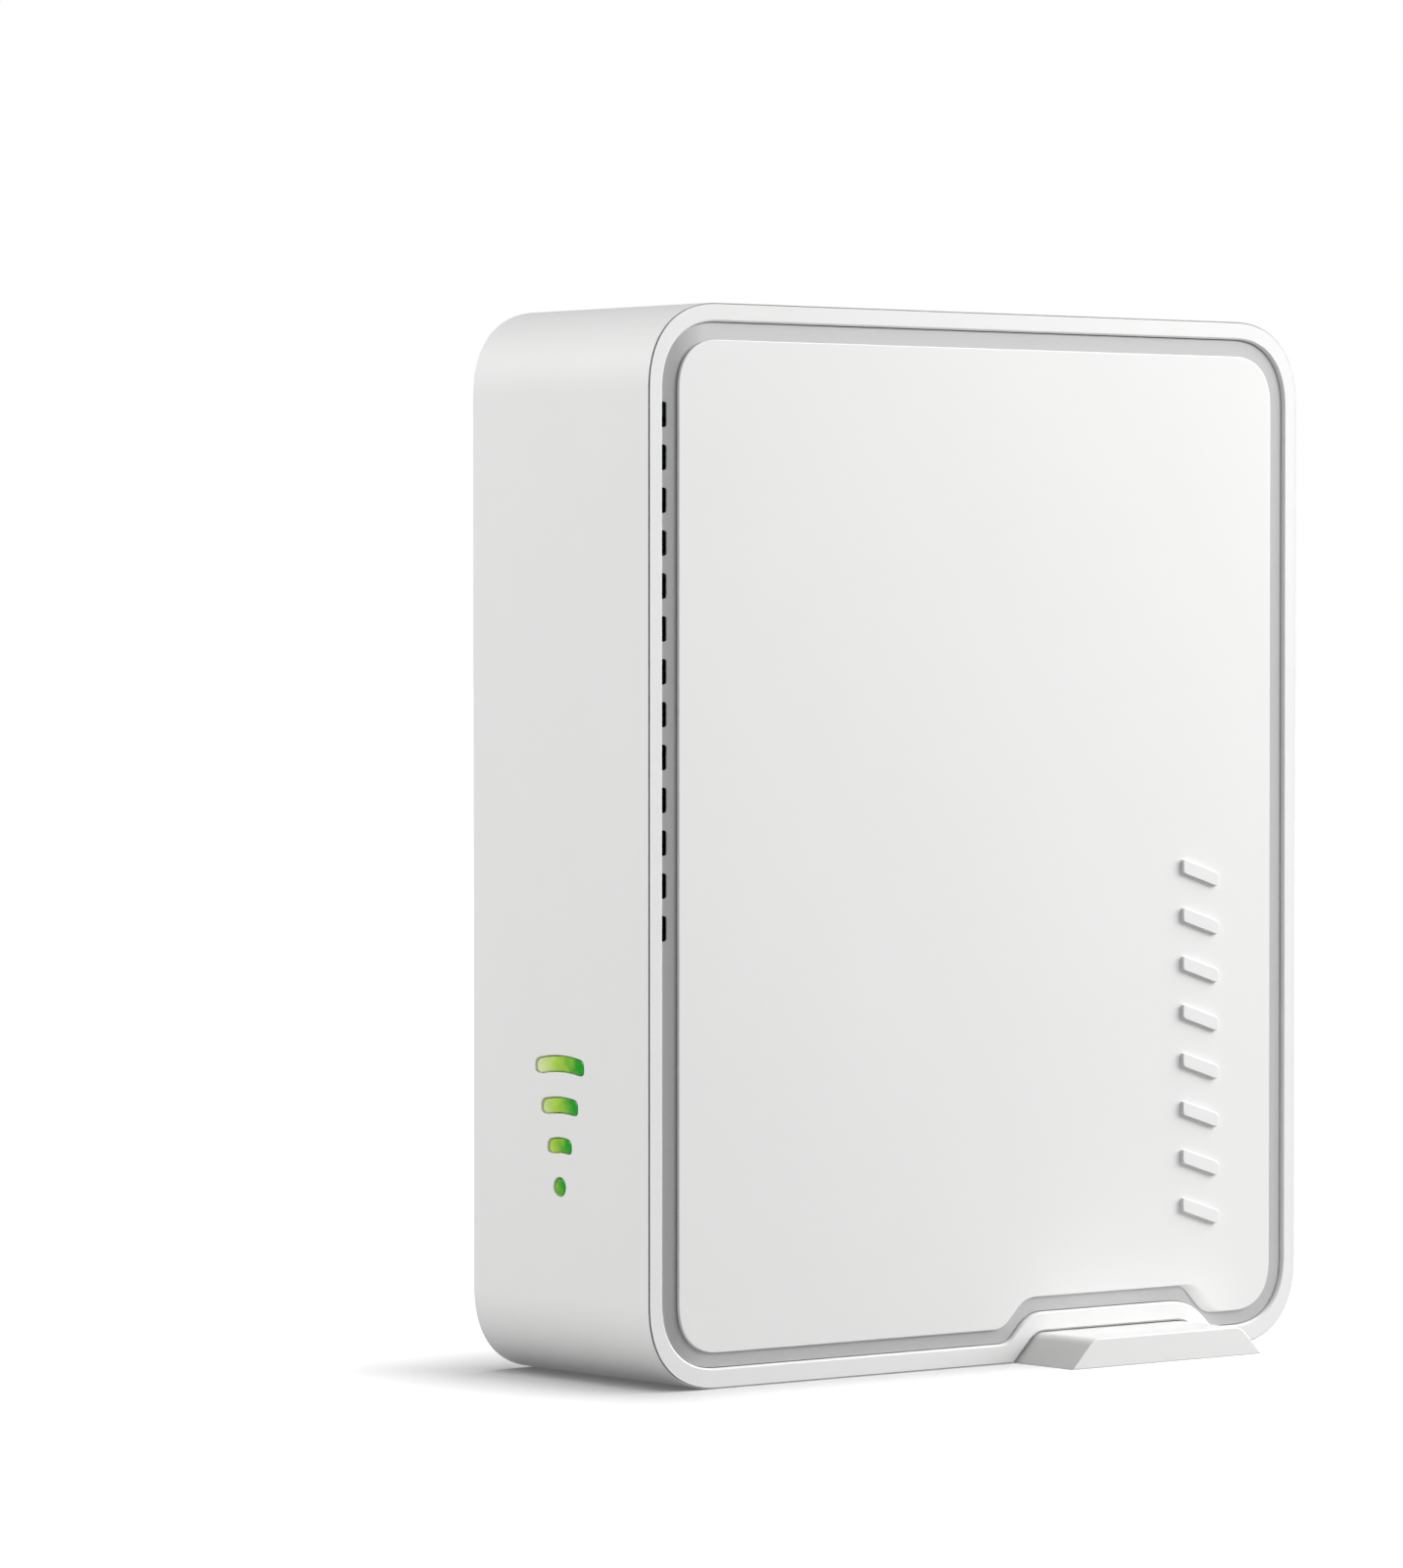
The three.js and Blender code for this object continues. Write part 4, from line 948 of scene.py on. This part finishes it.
def port_plate():
    """The grey plate around the sockets, with a lip behind the side band's window."""
    centre = (PLATE_LOW.z + PLATE_HIGH.z) / 2
    lip_face = HALF_WIDTH - WALL - GAP
    lip = 1.8 * MM
    inside = 1.5 * MM

    def panel(grow, radius):
        grown = 2 * grow
        return rounded_rectangle(0, centre, 25.4 * MM + grown, 123.4 * MM + grown, radius, 10)

    plate = loft("port_plate_panel", "x", [
        (PLATE_HIGH.x - inside, panel(-inside, 1 * MM)),
        (PLATE_LOW.x, panel(-inside, 1 * MM)),
        (PLATE_LOW.x, panel(lip, 4.3 * MM)),
        (lip_face, panel(lip, 4.3 * MM)),
        (lip_face, panel(0, 2.5 * MM)),
        (PLATE_HIGH.x, panel(0, 2.5 * MM)),
    ])
    through = (PLATE_HIGH.x - 3 * MM, PLATE_HIGH.x + MM)
    holes = [(jack_outline(node, GAP), *through) for node in (*JACKS, "dc_jack", "power_switch")]
    for node in ("wps_button", "reset_button"):
        low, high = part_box(node)
        holes.append((circle(0, (low.z + high.z) / 2, CAP_RADIUS[node] + GAP, 64), *through))
    cut(plate, prisms("holes", "x", holes))
    soften(plate, 0.14 * MM)
    return piece_of(plate, "port_plate", GREY_PLASTIC, "socket_plate_grey")


def push_button(node, collar, stem, surface):
    """A push button's cap with a dished face, its collar and its stem."""
    low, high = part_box(node)
    centre = (0, (low.z + high.z) / 2)
    cap = CAP_RADIUS[node]
    collar_face = PLATE_HIGH.x - 1.9 * MM
    collar_back = collar_face - MM
    lip = 0.22 * MM
    dish = 0.25 * MM * cap / (3 * MM)
    profile = [
        (0, low.x), (stem, low.x), (stem, collar_back), (collar, collar_back), (collar, collar_face),
        (cap, collar_face), (cap, high.x - lip),
    ]
    profile += rounded_edge(cap, high.x, lip, lip)
    for share in (0.8, 0.6, 0.4, 0.2):
        profile.append(((cap - lip) * share, high.x - dish * (1 - share ** 2)))
    profile.append((0, high.x - dish))
    button = turned(node + "_cap", "x", centre, profile)
    smooth_by_angle(button)
    dress(button, surface)
    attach(button, node)
    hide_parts(node)


def smooth_by_angle(piece):
    """Smooth faces, with the edges sharper than the limit kept sharp."""
    bm = bmesh.new()
    bm.from_mesh(piece.data)
    for edge in bm.edges:
        edge.smooth = edge.calc_face_angle(0.0) < SHARP_ANGLE
    for face in bm.faces:
        face.smooth = True
    bm.to_mesh(piece.data)
    bm.free()


def contact_wire(bm, path, z, width, thickness):
    """One flat spring contact along a path of (x, y) points."""
    rings = []
    for index, (x, y) in enumerate(path):
        before = Vector(path[max(index - 1, 0)])
        after = Vector(path[min(index + 1, len(path) - 1)])
        along = (after - before).normalized()
        across = Vector((-along.y, along.x)) * thickness / 2
        low, high = z - width / 2, z + width / 2
        rings.append([
            Vector((x + across.x, y + across.y, low)), Vector((x + across.x, y + across.y, high)),
            Vector((x - across.x, y - across.y, high)), Vector((x - across.x, y - across.y, low)),
        ])
    add_loft(bm, rings)


def jack_contacts():
    """Eight gilt spring wires in each network socket."""
    for node in JACKS:
        low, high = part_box(node)
        middle = (low.z + high.z) / 2
        mouth = high.x
        free_end, drop, heel = ((3.4 * MM, 3.9 * MM), (6.2 * MM, 3.6 * MM), (9 * MM, 1.2 * MM))
        curl, dip, root = ((9.3 * MM, 0.95 * MM), (10.4 * MM, 0.1 * MM), (11.4 * MM, 1.4 * MM))
        path = bend(free_end, drop, heel, 8) + bend(curl, dip, root, 6)
        path = [(mouth - depth, y) for depth, y in path]
        bm = bmesh.new()
        for place in WIRE_PLACES:
            contact_wire(bm, path, middle + place, 0.46 * MM, 0.26 * MM)
        contacts = mesh_object(node + "_contacts", bm)
        smooth_by_angle(contacts)
        dress(contacts, GOLD)
        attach(contacts, ROOT)


def network_jacks():
    """The moulded socket bodies: mouth, latch notch and a ribbed comb behind the contacts."""
    for node in JACKS:
        low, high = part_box(node)
        middle = (low.z + high.z) / 2
        mouth = high.x
        body = prisms(node + "_body", "x", [(jack_outline(node, 0), low.x, high.x)])
        wide, latch, shoulder = (6 * MM, 3.2 * MM, -3.2 * MM)
        key = [
            (shoulder, middle - wide), (shoulder, middle - latch), (-wide, middle - latch),
            (-wide, middle + latch), (shoulder, middle + latch), (shoulder, middle + wide),
            (4.4 * MM, middle + wide), (4.4 * MM, middle - wide),
        ]
        cut(body, prisms("mouth", "x", [(key, mouth - 15 * MM, mouth + MM)]))
        half = 0.32 * MM
        comb = (mouth - 12.5 * MM, mouth - 1.2 * MM)
        grooves = [
            (box_outline(3.0 * MM, 4.9 * MM, middle + place - half, middle + place + half), *comb)
            for place in WIRE_PLACES
        ]
        cut(body, prisms("grooves", "x", grooves))
        soften(body, 0.16 * MM, 2)
        if node == "wan_jack":
            piece_of(body, node, BLUE_PLASTIC, "socket_blue")
        else:
            piece_of(body, node, YELLOW_PLASTIC, "socket_yellow")


def dc_inlet():
    """The power inlet: a round socket in a black block, and its pin."""
    low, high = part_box("dc_jack")
    pin_low, pin_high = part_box("dc_pin")
    z = (low.z + high.z) / 2
    body = prisms("dc_jack_body", "x", [(jack_outline("dc_jack", 0), low.x, high.x)])
    cut(body, prisms("bore", "x", [(circle(0, z, 3.1 * MM, 64), high.x - 10 * MM, high.x + MM)]))
    cut(body, prisms("pin_hole", "x", [(circle(0, z, 1.3 * MM, 32), low.x + 1.5 * MM, high.x - 9 * MM)]))
    soften(body, 0.2 * MM)
    piece_of(body, "dc_jack", BLACK_PLASTIC, "black_plastic")
    tip = 0.7 * MM
    radius = (pin_high.z - pin_low.z) / 2
    profile = [(0, pin_low.x), (radius, pin_low.x), (radius, pin_high.x - tip)]
    profile += rounded_edge(radius, pin_high.x, radius, tip, 6)[:-1]
    profile.append((0, pin_high.x))
    pin = turned("dc_pin_rod", "x", (0, z), profile, 40)
    smooth_by_angle(pin)
    piece_of(pin, "dc_pin", GOLD, "contact_gold")


def cover_screws():
    """Countersunk-style pan heads with a cross recess, and their threaded shanks."""
    for index in range(1, 5):
        node = f"cover_screw_{index}"
        low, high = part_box(node)
        x = (low.x + high.x) / 2
        z = (low.z + high.z) / 2
        head = (high.x - low.x) / 2
        base = high.y - 0.9 * MM
        profile = [(0, low.y), (0.5 * MM, low.y + 0.9 * MM)]
        turns = 12
        start = low.y + 1.4 * MM
        pitch = (base - start) / turns
        for turn in range(turns):
            profile += [(0.78 * MM, start + turn * pitch), (1.0 * MM, start + (turn + 0.45) * pitch)]
        dome = 0.45 * MM
        profile += [(0.8 * MM, base), (head, base), (head, high.y - dome)]
        profile += rounded_edge(head, high.y, 0.7 * MM, dome)
        profile.append((0, high.y))
        screw = turned(node + "_steel", "y", (x, z), profile, 48)
        arm, slit = 1.45 * MM, 0.28 * MM
        cross = [
            (slit, -arm), (slit, -slit), (arm, -slit), (arm, slit), (slit, slit), (slit, arm),
            (-slit, arm), (-slit, slit), (-arm, slit), (-arm, -slit), (-slit, -slit), (-slit, -arm),
        ]
        cross = [(x + u, z + v) for u, v in cross]
        cut(screw, prisms("cross", "y", [(cross, high.y - 0.6 * MM, high.y + MM)]))
        smooth_by_angle(screw)
        piece_of(screw, node, TIN, "tin_steel")


# ------------------------------------------------------------------ CAD nodes that stay

KEPT = {
    "lens_holder": (BLACK_PLASTIC, 0.15),
    "light_board": (BOARD_SURFACE, 0.08),
    "light_ribbon": (FILM, 0.0),
    "main_board": (BOARD_SURFACE, 0.1),
    "processor": (PACKAGE, 0.12),
    "thermal_pad": (SILICONE, 0.1),
    "heatsink": (FIN, 0.12),
    "radio_shield_low": (TIN, 0.1),
    "radio_shield_high": (TIN, 0.1),
    "memory_chip": (PACKAGE, 0.1),
    "flash_chip": (PACKAGE, 0.1),
    "switch_chip": (PACKAGE, 0.1),
    "line_transformer_low": (PACKAGE, 0.15),
    "line_transformer_high": (PACKAGE, 0.15),
    "clock_crystal": (TIN, 0.5),
    "power_inductor": (FERRITE, 0.4),
    "capacitor_low": (CAN, 0.0),
    "capacitor_high": (CAN, 0.0),
    "antenna_top": (BOARD_SURFACE, 0.05),
    "antenna_side": (BOARD_SURFACE, 0.05),
    "antenna_lead_top": (BLACK_JACKET, 0.0),
    "antenna_lead_side": (WHITE_JACKET, 0.0),
    "power_switch": (BLACK_PLASTIC, 0.15),
    "power_rocker": (BLACK_PLASTIC, 0.25),
    "reset_switch": (BLACK_PLASTIC, 0.15),
    "wps_switch": (BLACK_PLASTIC, 0.15),
    "status_led_large": (DIODE, 0.06),
    "status_led_medium": (DIODE, 0.06),
    "status_led_small": (DIODE, 0.06),
    "status_led_dot": (DIODE, 0.06),
}


def kept_nodes():
    """The CAD solids that are seen as they are, with a material and an edge softened by so many mm."""
    for name, (surface, edge) in KEPT.items():
        node = dress(NODES[name], surface)
        flatten = node.modifiers.new("flats", "DECIMATE")
        flatten.decimate_type = "DISSOLVE"
        flatten.angle_limit = math.radians(1)
        if edge:
            soften(node, edge * MM, 2)
        else:
            smooth_faces(node)


# ------------------------------------------------------------------ stage


FLOOR_RADIUS = 12
FLOOR_GLOW = (0.13, 0.13, 0.13)
FADE_SHIFT = 30 * MM
FADE_START = 2 * MM
FADE_END = 55 * MM


def ground():
    """A plain pale floor that fades into the white surround away from the router."""
    floor = prisms("floor", "z", [(circle(0, 0, FLOOR_RADIUS, 96), -20 * MM, 0)])
    surface = Surface("floor_paint", (0.9, 0.9, 0.9), 0.9, Specular_IOR_Level=0.1)
    surface.relief(surface.noise(4 * MM, detail=2.0), 0.02 * MM)
    path = surface.node("ShaderNodeLightPath")
    seen = path.outputs["Is Camera Ray"]
    surface.paint(surface.mix(seen, (0.3, 0.3, 0.3), (0.9, 0.9, 0.9)))
    beyond = surface.place
    steps = (
        ("SUBTRACT", (-FADE_SHIFT, 0, 0)),
        ("ABSOLUTE", None),
        ("SUBTRACT", (HALF_WIDTH - FADE_SHIFT, BACK, 0)),
        ("MAXIMUM", (0, 0, 0)),
    )
    for operation, value in steps:
        reach = surface.node("ShaderNodeVectorMath", operation=operation)
        surface.link(beyond, reach.inputs[0])
        if value:
            reach.inputs[1].default_value = value
        beyond = reach.outputs["Vector"]
    distance = surface.node("ShaderNodeVectorMath", operation="LENGTH")
    surface.link(beyond, distance.inputs[0])
    far = surface.span(distance.outputs["Value"], 0, 1, FADE_START, FADE_END)
    fade = surface.node("ShaderNodeMath", operation="MULTIPLY")
    surface.link(far, fade.inputs[0])
    surface.link(seen, fade.inputs[1])
    glow = surface.mix(seen, FLOOR_GLOW, (0, 0, 0))
    shine = surface.mix(fade.outputs["Value"], glow, (1, 1, 1))
    surface.link(shine, surface.shader.inputs["Emission Color"])
    surface.shader.inputs["Emission Strength"].default_value = 1.0
    dress(floor, surface)
    return floor


def receivers(name, state, *pieces):
    """A collection that a light's linking includes or excludes."""
    made = bpy.data.collections.new(name)
    for piece in pieces:
        made.objects.link(piece)
    for link in made.collection_objects:
        link.light_linking.link_state = state
    return made


def area_light(name, place, size, power, lit):
    """A square soft box aimed at the router, which lights only what its collection says."""
    data = bpy.data.lights.new(name, "AREA")
    data.shape = "SQUARE"
    data.size = size
    data.energy = power
    light = bpy.data.objects.new(name, data)
    light.location = place
    middle = Vector((0, 0, HEIGHT / 2))
    light.rotation_euler = (middle - Vector(place)).to_track_quat("-Z", "Y").to_euler()
    light.light_linking.receiver_collection = lit
    bpy.context.scene.collection.objects.link(light)


WORLD_LIGHT = 0.34
FRONT_PIECES = ("front_cover_shell", "front_panel_plate", "stand_foot_bar")


def studio(floor):
    """Soft boxes on both sides and overhead, in a white surround that only the camera sees in full."""
    scene = bpy.context.scene
    world = bpy.data.worlds.new("studio")
    scene.world = world
    world.use_nodes = True
    tree = world.node_tree
    background = tree.nodes["Background"]
    background.inputs["Color"].default_value = (1, 1, 1, 1)
    path = tree.nodes.new("ShaderNodeLightPath")
    strength = tree.nodes.new("ShaderNodeMapRange")
    strength.inputs["To Min"].default_value = WORLD_LIGHT
    strength.inputs["To Max"].default_value = 1.0
    tree.links.new(path.outputs["Is Camera Ray"], strength.inputs["Value"])
    tree.links.new(strength.outputs["Result"], background.inputs["Strength"])
    case = receivers("all_but_floor", "EXCLUDE", floor)
    front = receivers("front_only", "INCLUDE", *[bpy.data.objects[name] for name in FRONT_PIECES])
    area_light("floor_wash", (0.45, -0.4, 1.2), 3.0, 34, receivers("floor_only", "INCLUDE", floor))
    area_light("key_right", (0.50, -0.62, 0.50), 0.45, 3.5, case)
    area_light("top_right", (0.75, -0.3, 0.65), 0.6, 3.5, case)
    area_light("left_high", (-1.1, 0.55, 0.72), 0.6, 13.2, case)
    area_light("left_low", (-1.2, 0.6, 0.2), 0.4, 0.4, case)
    area_light("right_side", (0.95, -0.4, 0.3), 0.4, 6.8, front)
    scene.view_settings.view_transform = "Standard"


def camera():
    """The main view: a long lens to the left of the front, a little above the middle."""
    turn = math.radians(38.847)
    dip = math.radians(1.2317)
    forward = Vector((math.sin(turn) * math.cos(dip), math.cos(turn) * math.cos(dip), -math.sin(dip)))
    data = bpy.data.cameras.new("camera")
    data.lens = 163.53
    data.sensor_width = 36
    data.clip_start = 0.05
    data.clip_end = 60
    made = bpy.data.objects.new("camera", data)
    made.location = (-0.66692, -0.78388, 0.10477)
    made.rotation_euler = forward.to_track_quat("-Z", "Y").to_euler()
    bpy.context.scene.collection.objects.link(made)
    bpy.context.scene.camera = made


camera()
side_band()
front_cover()
trim_ring()
front_panel()
back_cover()
rating_label()
stand_foot()
pads()
light_lenses()
port_plate()
network_jacks()
jack_contacts()
dc_inlet()
push_button("wps_button", 4 * MM, 1.5 * MM, CASING)
push_button("reset_button", 2 * MM, 0.9 * MM, RED_PLASTIC)
cover_screws()
kept_nodes()
studio(ground())
